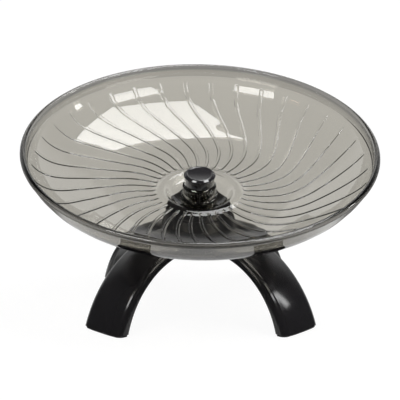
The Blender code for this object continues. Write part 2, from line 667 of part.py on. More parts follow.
def build_foot_pads(collection, material, stand_base):
    """Four thin rubber soles, each with its foot's outline drawn in a little."""
    back, under = arch_station(1.0)
    depth = (back - under).length
    narrow = (LEG_WIDTH - 2 * PAD_INSET) / LEG_WIDTH
    thin = (depth - 2 * PAD_INSET) / depth
    outline = [(across * narrow, PAD_INSET + deep * thin) for across, deep in leg_outline(depth, depth)]
    half_count = len(CROWN_SHARES) + len(EDGE_SHARES) + 1
    sole = outline[:half_count] + outline[1 - half_count:]
    left_legs = [(corner, -azimuth) for corner, azimuth in right_legs()]
    named = [(f"{corner}_right", azimuth) for corner, azimuth in right_legs()]
    named += [(f"{corner}_left", azimuth) for corner, azimuth in left_legs]
    for corner, azimuth in named:
        shape = bmesh.new()
        ring = [shape.verts.new((back.x - deep, across, 0.0)) for across, deep in sole]
        raised = bmesh.ops.extrude_face_region(shape, geom=[shape.faces.new(ring)])
        tops = [found for found in raised["geom"] if isinstance(found, bmesh.types.BMVert)]
        bmesh.ops.translate(shape, verts=tops, vec=(0, 0, PAD_THICKNESS))
        bmesh.ops.recalc_face_normals(shape, faces=shape.faces)
        mesh = bpy.data.meshes.new(f"{corner}_foot_pad")
        shape.to_mesh(mesh)
        shape.free()
        pad = place(f"{corner}_foot_pad", mesh, collection, material, stand_base)
        pad.rotation_euler = (0, 0, azimuth - math.pi / 2)


def add_empty(name, collection, parent=None):
    """Adds an empty as a named axis or base for other pieces."""
    empty = bpy.data.objects.new(name, None)
    collection.objects.link(empty)
    empty.parent = parent
    return empty


def main():
    """Builds the whole wheel."""
    clear_scene()
    parts = new_collection(PRODUCT)
    cutters = new_collection("cutters")
    smoke = plastic_or_metal("smoke_clear_plastic", (0.46, 0.44, 0.39), 0.08, alpha=0.55, transmission=0.6)
    black = plastic_or_metal("black_gloss_plastic", (0.018, 0.018, 0.02), 0.22)
    steel = plastic_or_metal("bright_steel", (0.62, 0.62, 0.63), 0.25, metallic=1.0)
    nylon = plastic_or_metal("nylon_cage", (0.75, 0.71, 0.6), 0.45)
    rubber = plastic_or_metal("black_rubber", (0.03, 0.03, 0.03), 0.8)

    stand_base = add_empty("stand_base", parts)
    stand_base.location = (0, STAND_Y, 0)
    spin_axis = add_empty("spin_axis", parts)
    spin_axis.location = (0, PLATFORM_Y, PLATFORM_HEIGHT)
    spin_axis.rotation_euler = (LEAN, 0, 0)

    build_saucer(parts, smoke, spin_axis)
    build_hub_cap(parts, black, spin_axis)
    for prefix, middle in (("lower", LOWER_BEARING_MIDDLE), ("upper", UPPER_BEARING_MIDDLE)):
        build_bearing(prefix, middle, parts, cutters, steel, nylon, spin_axis)
    build_axle_set(parts, cutters, steel, spin_axis)
    build_stand(parts, cutters, black, stand_base, spin_axis)
    build_foot_pads(parts, rubber, stand_base)


main()
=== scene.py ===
"""Visual model of a flying saucer exercise wheel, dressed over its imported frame.

A smoke-clear saucer with swirl ribs leans towards the viewer on a black gloss stand. Metres, +Z up,
the front of the stand towards -Y. Every piece is worked out as an array surface in the frame of the
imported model, rides on one of its bodies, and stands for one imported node.
"""
import json
import logging
import math
from dataclasses import dataclass
from enum import Enum
from functools import cached_property
from typing import Any, Callable, Mapping, Sequence

import bmesh
import bpy
import numpy as np
from bpy.types import Material, Mesh, Node, NodeSocket, NodeTree, Object
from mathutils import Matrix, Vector


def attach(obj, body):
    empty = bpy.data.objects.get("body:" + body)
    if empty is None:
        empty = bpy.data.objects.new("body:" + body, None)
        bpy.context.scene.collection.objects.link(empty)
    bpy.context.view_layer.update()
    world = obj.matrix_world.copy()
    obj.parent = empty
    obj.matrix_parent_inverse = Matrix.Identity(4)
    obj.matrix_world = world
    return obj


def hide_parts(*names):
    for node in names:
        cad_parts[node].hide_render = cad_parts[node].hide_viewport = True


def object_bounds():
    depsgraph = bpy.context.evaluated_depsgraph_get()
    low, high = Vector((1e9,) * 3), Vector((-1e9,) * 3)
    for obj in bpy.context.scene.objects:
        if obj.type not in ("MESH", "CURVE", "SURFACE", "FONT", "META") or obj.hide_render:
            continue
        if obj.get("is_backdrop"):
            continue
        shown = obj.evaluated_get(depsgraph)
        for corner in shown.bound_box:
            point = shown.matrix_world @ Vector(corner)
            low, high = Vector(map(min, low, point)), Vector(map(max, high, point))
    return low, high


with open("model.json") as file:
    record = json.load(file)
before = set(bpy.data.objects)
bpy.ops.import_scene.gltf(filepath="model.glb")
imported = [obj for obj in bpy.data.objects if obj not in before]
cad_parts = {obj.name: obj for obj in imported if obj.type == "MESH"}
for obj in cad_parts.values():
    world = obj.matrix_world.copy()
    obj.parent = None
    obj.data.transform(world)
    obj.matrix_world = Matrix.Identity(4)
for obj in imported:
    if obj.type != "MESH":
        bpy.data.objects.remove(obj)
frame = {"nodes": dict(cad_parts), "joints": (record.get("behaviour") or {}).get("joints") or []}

LOG = logging.getLogger("flying_saucer_wheel")
MM = 0.001
FIT_GAP = 0.3 * MM
AXLE_JOINT = "saucer_spin"
WELD = 1e-7
CORNER_SHARE = 0.48
HEX_SIDES = 6
WHITE = (1.0, 1.0, 1.0, 1.0)
Setting = Any
Array = np.ndarray
Colour = tuple[float, float, float]
Point = tuple[float, float, float]
Pair = tuple[float, float]


class Body(Enum):
    """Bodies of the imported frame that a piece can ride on."""

    STAND = "stand"
    SAUCER = "saucer"
    UPPER_CAGE = "upper_cage"
    LOWER_CAGE = "lower_cage"


class Slot(Enum):
    """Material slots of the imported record."""

    SMOKE = "smoke_clear_plastic"
    BLACK = "black_gloss_plastic"
    STEEL = "bright_steel"
    NYLON = "nylon_cage"
    RUBBER = "black_rubber"


# ---------------- shader expressions

def math_operator(operation: str, swapped: bool = False) -> Callable[["Value", Setting], "Value"]:
    """Makes an operator of Value.

    Args:
        operation: what its Math node does.
        swapped: whether the other term stands on the left.

    Returns:
        The operator's method, which takes a Value or a number.
    """
    def method(self: "Value", other: Setting) -> "Value":
        """Adds the Math node.

        Args:
            other: the other term, a Value or a number.

        Returns:
            The node's result.
        """
        first, second = (other, self) if swapped else (self, other)
        made = self.sketch.node("ShaderNodeMath", {"operation": operation}, {0: first, 1: second})
        return Value(self.sketch, made.outputs[0])
    return method


class Value:
    """A shader socket that takes part in Python sums: each operator adds one Math node."""

    __add__ = math_operator("ADD")
    __radd__ = math_operator("ADD", swapped=True)
    __sub__ = math_operator("SUBTRACT")
    __rsub__ = math_operator("SUBTRACT", swapped=True)
    __mul__ = math_operator("MULTIPLY")
    __rmul__ = math_operator("MULTIPLY", swapped=True)
    __pow__ = math_operator("POWER")

    def __init__(self, sketch: "Sketch", socket: NodeSocket) -> None:
        """Keeps the socket and the sketch that it belongs to."""
        self.sketch = sketch
        self.socket = socket

    def above(self, edge: float, soft: float) -> "Value":
        """Mask that climbs smoothly from 0 to 1 over a band above an edge.

        Args:
            edge: value at which the mask leaves 0.
            soft: width of its climb.

        Returns:
            The mask.
        """
        made = self.sketch.node("ShaderNodeMapRange", {"interpolation_type": "SMOOTHSTEP"},
                                {"Value": self, "From Min": edge, "From Max": edge + soft})
        return Value(self.sketch, made.outputs[0])


@dataclass(frozen=True)
class Grain:
    """Noise: bumps in a metre, octaves, stretch of the axes, and the band of a mask over it."""

    scale: float
    detail: float
    stretch: Point | None = None
    band: Pair | None = None


class Sketch:
    """One material's node tree, with one method for every node."""

    def __init__(self, name: str) -> None:
        """Makes an empty material with its output.

        Args:
            name: name of the material.
        """
        self.material = bpy.data.materials.new(name)
        self.material.use_nodes = True
        self.tree = self.material.node_tree
        self.tree.nodes.clear()
        self.output = self.tree.nodes.new("ShaderNodeOutputMaterial")

    @classmethod
    def on(cls, tree: NodeTree, output: str) -> "Sketch":
        """Takes an existing tree, such as the world's, and empties it down to a new output.

        Args:
            tree: node tree to empty.
            output: kind of its output node.

        Returns:
            A sketch without a material of its own.
        """
        made = cls.__new__(cls)
        made.material = None
        made.tree = tree
        tree.nodes.clear()
        made.output = tree.nodes.new(output)
        return made

    def node(self, kind: str, settings: Mapping[str, Setting] | None = None,
             inputs: Mapping[Setting, Setting] | None = None) -> Node:
        """Adds a node, sets its options first, and then fills or links its inputs.

        Args:
            kind: the node's type.
            settings: attributes of the node.
            inputs: values, Values or sockets by input name or number.

        Returns:
            The node.
        """
        made = self.tree.nodes.new(kind)
        for key, value in (settings or {}).items():
            setattr(made, key, value)
        for key, value in (inputs or {}).items():
            if isinstance(value, Value):
                value = value.socket
            if isinstance(value, NodeSocket):
                self.tree.links.new(value, made.inputs[key])
            else:
                made.inputs[key].default_value = value
        return made

    @cached_property
    def place(self) -> NodeSocket:
        """Object coordinates, the same for every view and pose."""
        return self.node("ShaderNodeTexCoord").outputs["Object"]

    def split(self, vector: NodeSocket, axes: str) -> list[Value]:
        """Coordinates of a vector along the named axes."""
        made = self.node("ShaderNodeSeparateXYZ", {}, {0: vector})
        return [Value(self, made.outputs[axis]) for axis in axes]

    def rays(self, *kinds: str) -> list[Value]:
        """For each kind of light ray, 1 where a ray is of that kind and 0 elsewhere."""
        path = self.node("ShaderNodeLightPath")
        return [Value(self, path.outputs[f"Is {kind} Ray"]) for kind in kinds]

    def noise(self, grain: Grain) -> Value:
        """Noise from 0 to 1 over the object, or the mask above the grain's band.

        Args:
            grain: the noise's numbers.

        Returns:
            The noise or its mask.
        """
        where = self.place
        if grain.stretch:
            scaled = self.node("ShaderNodeMapping", {}, {"Vector": where, "Scale": grain.stretch})
            where = scaled.outputs[0]
        made = self.node("ShaderNodeTexNoise", {},
                         {"Vector": where, "Scale": grain.scale, "Detail": grain.detail})
        value = Value(self, made.outputs["Fac"])
        return value.above(*grain.band) if grain.band else value

    def mix(self, share: Value, low: Setting, high: Setting) -> NodeSocket:
        """Colour between two colours or sockets by a share, by the node's colour sockets 6, 7 and 2.

        Args:
            share: share of the second colour.
            low: colour at a share of 0.
            high: colour at a share of 1.

        Returns:
            The mixed colour.
        """
        ends = [end if isinstance(end, NodeSocket) else (*end, 1.0) for end in (low, high)]
        made = self.node("ShaderNodeMix", {"data_type": "RGBA"}, {0: share, 6: ends[0], 7: ends[1]})
        return made.outputs[2]

    def bump(self, height: Value, strength: float, distance: float) -> NodeSocket:
        """Surface normal raised by a height map.

        Args:
            height: height map.
            strength: share of its effect.
            distance: height of a map value of 1.

        Returns:
            The normal.
        """
        made = self.node("ShaderNodeBump", {},
                         {"Height": height, "Strength": strength, "Distance": distance})
        return made.outputs["Normal"]

    def close(self, shader: Node, output: str = "Surface") -> None:
        """Links a shader to one of the tree's outputs."""
        self.tree.links.new(shader.outputs[0], self.output.inputs[output])

    def finish(self, inputs: Mapping[str, Setting]) -> Material:
        """Closes the tree with one Principled shader."""
        self.close(self.node("ShaderNodeBsdfPrincipled", {}, inputs))
        return self.material


# ---------------- finishes

@dataclass(frozen=True)
class SmokeClearPlastic:
    """Clear moulded plastic with a warm smoke tint, faint flow marks and light running scuffs.

    The smoke is a tint of the surface and a volume that takes up light. Past a distance along the
    axle the surface takes the lip's darker tint.
    """

    tint: Colour = (0.54, 0.52, 0.463)
    dark_tint: Colour = (0.50, 0.482, 0.43)
    lip_tint: Colour = (0.34, 0.332, 0.32)
    axle: Point = (0.0, -0.34202, 0.939693)
    lip_band: Pair = (133.3 * MM, 1.5 * MM)
    refraction: float = 1.52
    darkening: float = 55.0
    flow: Grain = Grain(14.0, 2.0)
    scuffs: Grain = Grain(420.0, 4.0, (1.0, 0.12, 1.0), (0.62, 0.16))
    gloss: float = 0.012
    scuff_roughness: float = 0.03
    ripple: Grain = Grain(34.0, 1.0)
    ripple_bump: Pair = (0.015, 1.0 * MM)

    def make(self) -> Material:
        """Makes the material.

        Returns:
            The material.
        """
        sketch = Sketch(Slot.SMOKE.value)
        along = sketch.node("ShaderNodeVectorMath", {"operation": "DOT_PRODUCT"},
                            {0: sketch.place, 1: self.axle})
        lip = Value(sketch, along.outputs["Value"]).above(*self.lip_band)
        sketch.close(sketch.node("ShaderNodeVolumeAbsorption", {}, {
            "Color": (0.0, 0.0, 0.0, 1.0), "Density": self.darkening}), "Volume")
        body = sketch.mix(sketch.noise(self.flow), self.dark_tint, self.tint)
        return sketch.finish({
            "Base Color": sketch.mix(lip, body, self.lip_tint),
            "Roughness": self.gloss + self.scuff_roughness * sketch.noise(self.scuffs),
            "IOR": self.refraction,
            "Transmission Weight": 1.0,
            "Normal": sketch.bump(sketch.noise(self.ripple), *self.ripple_bump)})


@dataclass(frozen=True)
class BlackGlossPlastic:
    """Black moulded plastic with a high gloss, orange peel, and dust and rub marks."""

    name: str = Slot.BLACK.value
    base: Colour = (0.014, 0.013, 0.015)
    dusty: Colour = (0.024, 0.023, 0.0255)
    gloss: float = 0.10
    coat: float = 0.0
    cloud: Grain = Grain(22.0, 5.0)
    specks: Grain = Grain(900.0, 2.0, None, (0.66, 0.08))
    cloud_share: float = 0.4
    rubs: Grain = Grain(160.0, 4.0, (1.0, 1.0, 0.2), (0.6, 0.2))
    cloud_roughness: float = 0.06
    rub_roughness: float = 0.07
    peel: Grain = Grain(260.0, 1.0)
    peel_bump: Pair = (0.025, 0.2 * MM)

    def make(self) -> Material:
        """Makes the material.

        Returns:
            The material.
        """
        sketch = Sketch(self.name)
        cloud = sketch.noise(self.cloud)
        dust = cloud * self.cloud_share + sketch.noise(self.specks) * (1.0 - self.cloud_share)
        return sketch.finish({
            "Base Color": sketch.mix(dust, self.base, self.dusty),
            "Roughness": self.gloss + self.cloud_roughness * cloud
            + self.rub_roughness * sketch.noise(self.rubs),
            "Coat Weight": self.coat,
            "Normal": sketch.bump(sketch.noise(self.peel), *self.peel_bump)})


@dataclass(frozen=True)
class GrainedFinish:
    """Finish with clouds between two colours, and one grain in its roughness and relief."""

    slot: Slot
    base: Colour
    worn: Colour
    cloud: Grain
    grain: Grain
    roughness: float
    grain_roughness: float
    relief: Pair
    metallic: float = 0.0

    def make(self) -> Material:
        """Makes the material.

        Returns:
            The material.
        """
        sketch = Sketch(self.slot.value)
        grain = sketch.noise(self.grain)
        return sketch.finish({
            "Base Color": sketch.mix(sketch.noise(self.cloud), self.base, self.worn),
            "Metallic": self.metallic,
            "Roughness": self.roughness + self.grain_roughness * grain,
            "Normal": sketch.bump(grain, *self.relief)})


BRIGHT_STEEL = GrainedFinish(
    Slot.STEEL, (0.70, 0.695, 0.69), (0.80, 0.795, 0.79), cloud=Grain(120.0, 3.0),
    grain=Grain(900.0, 3.0, (1.0, 1.0, 0.08)), roughness=0.12, grain_roughness=0.08,
    relief=(0.02, 0.1 * MM), metallic=1.0)
SATIN_NYLON = GrainedFinish(
    Slot.NYLON, (0.70, 0.65, 0.53), (0.80, 0.76, 0.65), cloud=Grain(300.0, 4.0),
    grain=Grain(300.0, 4.0), roughness=0.38, grain_roughness=0.15, relief=(0.15, 0.1 * MM))
SOFT_RUBBER = GrainedFinish(
    Slot.RUBBER, (0.018, 0.018, 0.018), (0.055, 0.054, 0.052),
    cloud=Grain(90.0, 4.0, None, (0.5, 0.3)), grain=Grain(1500.0, 3.0), roughness=0.7,
    grain_roughness=0.2, relief=(0.4, 0.2 * MM))


# ---------------- array surfaces

def smoothstep(share: Array) -> Array:
    """Climbs from 0 to 1 with level ends: three times the share squared less twice its cube."""
    share = np.clip(share, 0.0, 1.0)
    return share * share * (3.0 - 2.0 * share)


def round_corners(points: Sequence[Pair], radius: float | Sequence[float],
                  steps: int = 4, closed: bool = True) -> Array:
    """Rounds the corners of a flat outline.

    Each corner is swapped for a quadratic curve that leaves one edge and joins the next at the
    same distance, which is the radius or under half of the shorter edge.

    Args:
        points: corners in order.
        radius: one radius, or one for each corner.
        steps: pieces of each curve.
        closed: whether the last corner joins the first.

    Returns:
        The rounded outline, an array of points.
    """
    corner = np.asarray(points, dtype=float)
    sizes = np.broadcast_to(np.asarray(radius, dtype=float), (len(corner),)).copy()
    if not closed:
        sizes[[0, -1]] = 0.0
    before = np.roll(corner, 1, axis=0) - corner
    after = np.roll(corner, -1, axis=0) - corner
    reach_before = np.linalg.norm(before, axis=1)
    reach_after = np.linalg.norm(after, axis=1)
    cut = np.minimum(sizes, CORNER_SHARE * np.minimum(reach_before, reach_after))[:, None]
    start = corner + before / reach_before[:, None] * cut
    end = corner + after / reach_after[:, None] * cut
    t = np.linspace(0.0, 1.0, steps + 1)[None, :, None]
    curve = ((1 - t) ** 2 * start[:, None] + 2 * t * (1 - t) * corner[:, None] + t**2 * end[:, None])
    return curve.reshape(-1, 2)


def grid_mesh(name: str, rows: Array, loop_rows: bool) -> Mesh:
    """Closes a grid of points into a solid skin.

    Neighbouring rows are joined by four-sided faces and every row closes on itself. The last row
    joins the first, or both end rows get a face across them. Equal points are welded, and the
    faces are then turned outwards.

    Args:
        name: the mesh's name.
        rows: points as rows, columns and coordinates.
        loop_rows: whether the last row joins the first.

    Returns:
        The mesh.
    """
    count, columns = rows.shape[:2]
    index = np.arange(count * columns).reshape(count, columns)
    low = index if loop_rows else index[:-1]
    high = np.roll(index, -1, axis=0) if loop_rows else index[1:]
    quads = np.stack([low, np.roll(low, -1, axis=1), np.roll(high, -1, axis=1), high], axis=-1)
    faces = quads.reshape(-1, 4).tolist()
    if not loop_rows:
        faces += [index[0][::-1].tolist(), index[-1].tolist()]
    mesh = bpy.data.meshes.new(name)
    mesh.from_pydata(rows.reshape(-1, 3), [], faces)
    shape = bmesh.new()
    shape.from_mesh(mesh)
    bmesh.ops.remove_doubles(shape, verts=shape.verts, dist=WELD)
    bmesh.ops.dissolve_degenerate(shape, edges=shape.edges, dist=WELD)
    bmesh.ops.recalc_face_normals(shape, faces=shape.faces)
    shape.to_mesh(mesh)
    shape.free()
    return mesh


def shade(mesh: Mesh, sharp_degrees: float = 40.0) -> Mesh:
    """Shades a mesh smooth and keeps corners over an angle sharp.

    Args:
        mesh: mesh to shade, changed in place.
        sharp_degrees: angle between two faces above which their edge stays sharp.

    Returns:
        The same mesh.
    """
    mesh.shade_smooth()
    mesh.set_sharp_from_angle(angle=math.radians(sharp_degrees))
    return mesh


def full_turn(segments: int) -> Array:
    """Equal angles round a full turn."""
    return np.linspace(0.0, 2 * np.pi, segments, endpoint=False)


def quarter_turn(points: int) -> Array:
    """Equal angles from 0 to a right angle, both included."""
    return np.linspace(0.0, np.pi / 2, points)


def turned_rows(profile: Array, segments: int, middle: float = 0.0) -> Array:
    """Turns a profile about the axle.

    A point at a radius and a height, at each of equal angles, is the radius times the angle's
    cosine and sine, and the height.

    Args:
        profile: points of radius and height.
        segments: equal angles.
        middle: height added to every point.

    Returns:
        Rows of points in the axle's frame.
    """
    angle = full_turn(segments)
    radius = profile[:, :1]
    height = np.broadcast_to(profile[:, 1:] + middle, (len(profile), segments))
    return np.stack([radius * np.cos(angle), radius * np.sin(angle), height], axis=-1)


@dataclass(frozen=True)
class Place:
    """A turned and moved frame in which a group of pieces is worked out."""

    origin: Point
    across: Point
    ahead: Point
    up: Point

    def world(self, points: Array) -> Array:
        """Points of this frame as world points: origin plus each coordinate times its axis."""
        axes = np.array([self.across, self.ahead, self.up])
        return points @ axes + np.array(self.origin)

    @staticmethod
    def of_joint(name: str) -> "Place":
        """Frame on a joint's axis, with its across axis level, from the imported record.

        Args:
            name: name of the joint.

        Returns:
            The frame, with its up axis along the joint.
        """
        joint = next(found for found in frame["joints"] if found["name"] == name)
        up = Vector(joint["axis"]).normalized()
        across = Vector((1.0, 0.0, 0.0))
        ahead = up.cross(across).normalized()
        return Place(tuple(joint["pos_m"]), tuple(across), tuple(ahead), tuple(up))


def add_object(name: str, data: Setting) -> Object:
    """Makes an object and links it to the scene.

    Args:
        name: name of the object.
        data: its mesh or lamp.

    Returns:
        The linked object.
    """
    made = bpy.data.objects.new(name, data)
    bpy.context.scene.collection.objects.link(made)
    return made


def add_piece(name: str, mesh: Mesh, body: Body, material: Material,
              stands_for: Sequence[str]) -> Object:
    """Adds a finished piece at the origin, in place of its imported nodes.

    Args:
        name: the piece's name.
        mesh: its finished mesh, in world places.
        body: the body that carries it.
        material: its finish.
        stands_for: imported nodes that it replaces.

    Returns:
        The piece.
    """
    piece = add_object(name, mesh)
    mesh.materials.clear()
    mesh.materials.append(material)
    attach(piece, body.value)
    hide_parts(*stands_for)
    LOG.info("%s: %d faces", name, len(mesh.polygons))
    return piece


# ---------------- saucer

@dataclass(frozen=True)
class Saucer:
    """Smoke-clear saucer: hub tube, dished hub floor, ribbed bowl and rolled lip in one skin.

    The knots of its hub floor are radii and heights in millimetres.
    """

    rim_radius: float = 152.4 * MM
    rim_height: float = 64.0 * MM
    lip_radius: float = 2.6 * MM
    lip_inset: float = 0.26 * MM
    wall: float = 2.0 * MM
    hub_floor: float = 12.5 * MM
    hub_knots: tuple[Pair, ...] = ((25.5, 13.0), (29.0, 17.5), (34.5, 18.0), (42.0, 16.3))
    track_height: float = 16.6 * MM
    boss_radius: float = 14.7 * MM
    boss_fillet: float = 1.2 * MM
    boss_bevel: float = 1.7 * MM
    boss_round: float = 1.0 * MM
    fillet_points: int = 6
    fillet_gap: float = 0.5 * MM
    skirt_radius: float = 17.8 * MM
    tube_bottom: float = 3.8 * MM
    tube_top: float = 23.8 * MM
    seat_radius: float = 11.3 * MM
    shoulder_radius: float = 9.7 * MM
    lower_shoulder: float = 11.1 * MM
    upper_shoulder: float = 14.7 * MM
    edge_round: float = 0.5 * MM
    skirt_drop: float = 0.2 * MM
    lip_points: int = 16
    lip_end: float = math.radians(-45.0)
    rib_count: int = 36
    rib_width: float = 2.8 * MM
    rib_outer_width: float = 4.2 * MM
    rib_rise: float = 0.53 * MM
    rib_flank_share: float = 0.36
    rib_nose: float = 1.8 * MM
    rib_inner: float = 37.3 * MM
    rib_outer: float = 143.3 * MM
    root_gap: float = 0.6 * MM
    upper_counts: tuple[int, ...] = (9, 6, 46, 6, 4)
    lower_counts: tuple[int, int] = (24, 8)
    swirl_root: float = 45.7 * MM
    swirl_turn: float = math.radians(24.0)
    phase: float = math.radians(4.0)
    bowl_shares: tuple[Pair, ...] = (
        (0.40, 0.0), (0.50, 0.010), (0.60, 0.071), (0.69, 0.172), (0.77, 0.275), (0.84, 0.389),
        (0.89, 0.505), (0.925, 0.618), (0.95, 0.733), (0.964, 0.842))
    rib_columns: tuple[float, ...] = (0.0, 0.32, 0.64, 0.76, 0.88, 1.0, 1.2)
    gap_columns: int = 3
    sharp_degrees: float = 55.0

    @property
    def foot_radius(self) -> float:
        """Outer radius of the fillet at the boss's foot."""
        return self.boss_radius + self.boss_fillet

    def knots(self) -> Array:
        """Radius and height of the upper face, from the boss fillet to the foot of the lip.

        Returns:
            Rows of radius and height.
        """
        out, up = np.array(self.bowl_shares).T
        bowl = np.column_stack([self.rim_radius * out,
                                self.track_height + (self.rim_height - self.track_height) * up])
        return np.vstack([[self.foot_radius, self.hub_floor], np.array(self.hub_knots) * MM, bowl])

    def upper_height(self, radius: Array) -> Array:
        """Height of the upper face at a radius.

        Between two knots it is the cubic that has their heights and slopes, where a knot's slope
        is the harmonic mean of the slopes on its two sides, or zero where they differ in sign.

        Args:
            radius: radii.

        Returns:
            Heights.
        """
        knot = self.knots()
        run = np.diff(knot[:, 0])
        slope = np.diff(knot[:, 1]) / run
        product = slope[:-1] * slope[1:]
        total = np.where(product > 0, slope[:-1] + slope[1:], 1.0)
        inner = np.where(product > 0, 2 * product / total, 0.0)
        tangent = np.concatenate([[0.0], inner, [slope[-1]]])
        at = np.clip(np.searchsorted(knot[:, 0], radius, side="right") - 1, 0, len(run) - 1)
        t = (radius - knot[at, 0]) / run[at]
        return ((2 * t**3 - 3 * t**2 + 1) * knot[at, 1] + (t**3 - 2 * t**2 + t) * tangent[at] * run[at]
                + (3 * t**2 - 2 * t**3) * knot[at + 1, 1] + (t**3 - t**2) * tangent[at + 1] * run[at])

    def swirl(self, radius: Array) -> Array:
        """Turn of the ribs at a radius: half the swirl times one plus the cosine of the way out."""
        way = (np.maximum(radius, self.rib_inner) - self.swirl_root) / (self.rib_outer - self.swirl_root)
        return self.phase - self.swirl_turn * (1.0 + np.cos(np.pi * np.minimum(way, 1.0))) / 2

    def upper_radii(self) -> Array:
        """Radii of the upper face's rows, closest at the ends of the ribs.

        Returns:
            The radii in rising order.
        """
        root, tip, nose = self.rib_inner, self.rib_outer, self.rib_nose
        spans = ((self.foot_radius, root - self.root_gap), (root, root + nose),
                 (root + nose, tip - nose), (tip - nose, tip), (tip, self.knots()[-1, 0]))
        return np.unique(np.concatenate([
            np.linspace(*span, count) for span, count in zip(spans, self.upper_counts)]))

    def underside(self) -> Array:
        """Radius and height of the lower face: the upper face moved by the wall along its normal.

        Returns:
            Rows of radius and height, from the lip inwards.
        """
        outer, inner = self.lower_counts
        radii = np.concatenate([np.linspace(self.knots()[-2, 0], self.rib_inner, outer),
                                np.linspace(self.rib_inner, self.foot_radius, inner)[1:]])
        step = self.lip_radius / 2
        slope = (self.upper_height(radii + step) - self.upper_height(radii - step)) / (2 * step)
        slope[-1] = 0.0
        length = np.hypot(slope, 1.0)
        return np.column_stack([radii + self.wall * slope / length,
                                self.upper_height(radii) - self.wall / length])

    def hub_tube(self) -> Array:
        """Radius and height of the tube: skirt, two bearing seats with a shoulder, and boss.

        Returns:
            Rows of radius and height, from the skirt round to the boss's foot.
        """
        low, high, top = self.lower_shoulder, self.upper_shoulder, self.tube_top
        tube = [(self.skirt_radius, self.hub_floor - self.wall - self.skirt_drop),
                (self.skirt_radius, self.tube_bottom), (self.seat_radius, self.tube_bottom),
                (self.seat_radius, low), (self.shoulder_radius, low), (self.shoulder_radius, high),
                (self.seat_radius, high), (self.seat_radius, top)]
        boss = [(self.boss_radius - self.boss_bevel, top), (self.boss_radius, top - self.boss_bevel),
                (self.boss_radius, self.hub_floor + self.boss_fillet + self.fillet_gap)]
        rounds = [self.edge_round] * len(tube) + [self.boss_round] * len(boss)
        return round_corners(tube + boss, rounds, closed=False)

    def section(self) -> tuple[Array, Array]:
        """Closed outline of the skin, as radius and height, and the share of rib rise in each row.

        Returns:
            Rows of radius and height, and a share from 0 to 1 for each row.
        """
        fillet = quarter_turn(self.fillet_points + 1)[:-1]
        boss = np.column_stack([self.boss_radius + self.boss_fillet * (1 - np.cos(fillet)),
                                self.hub_floor + self.boss_fillet * (1 - np.sin(fillet))])
        radii = self.upper_radii()
        turn = np.linspace(np.pi, self.lip_end, self.lip_points)
        reach = self.lip_radius + self.lip_inset
        lip = np.column_stack([self.rim_radius - reach + self.lip_radius * np.cos(turn),
                               self.rim_height - reach + self.lip_radius * np.sin(turn)])
        profile = np.vstack([boss, np.column_stack([radii, self.upper_height(radii)]), lip,
                             self.underside(), self.hub_tube()])
        rises = np.zeros(len(profile))
        rises[len(boss):len(boss) + len(radii)] = (
            smoothstep((radii - self.rib_inner) / self.rib_nose)
            * smoothstep((self.rib_outer - radii) / self.rib_nose))
        return profile, rises

    def rows(self) -> Array:
        """Skin of the saucer in the axle's frame.

        Each sector has columns packed across its rib at fixed shares of the rib's width, and the
        rest spread over the gap to the next rib. The width grows evenly from the rib's root to its
        outer end. A column's angle is its sector's angle, plus its distance over the radius, plus
        the swirl. On the upper face the rib's rise is added to the height: full on the crest and
        falling as a smooth step over the flanks.

        Returns:
            Rows of points.
        """
        profile, rises = self.section()
        radius, base, turn, rise = (column[:, None, None] for column in (
            profile[:, 0], profile[:, 1], self.swirl(profile[:, 0]), rises))
        widths = np.interp(radius, (self.rib_inner, self.rib_outer),
                           (self.rib_width, self.rib_outer_width))
        right = np.array(self.rib_columns)
        shares = np.concatenate([-right[:0:-1], right])
        sector = 2 * np.pi / self.rib_count
        on_rib = shares * widths / 2 / radius
        edge = on_rib[..., -1:]
        gap = edge + (sector - 2 * edge) * np.linspace(0.0, 1.0, self.gap_columns + 2)[1:-1]
        flank = smoothstep((1 - np.abs(shares)) / self.rib_flank_share)
        lift = np.concatenate([flank, np.zeros(self.gap_columns)]) * rise
        sectors = (np.arange(self.rib_count) * sector)[:, None]
        theta = sectors + np.concatenate([on_rib, gap], axis=2) + turn
        height = np.broadcast_to(base + lift * self.rib_rise, theta.shape)
        points = np.stack([radius * np.sin(theta), -radius * np.cos(theta), height], axis=-1)
        return points.reshape(len(profile), -1, 3)

    def build(self, place: Place, finish: Material) -> None:
        """Adds the saucer's piece."""
        skin = shade(grid_mesh("saucer_skin", place.world(self.rows()), True), self.sharp_degrees)
        add_piece("saucer_skin", skin, Body.SAUCER, finish, ["saucer"])


# ---------------- hub cap

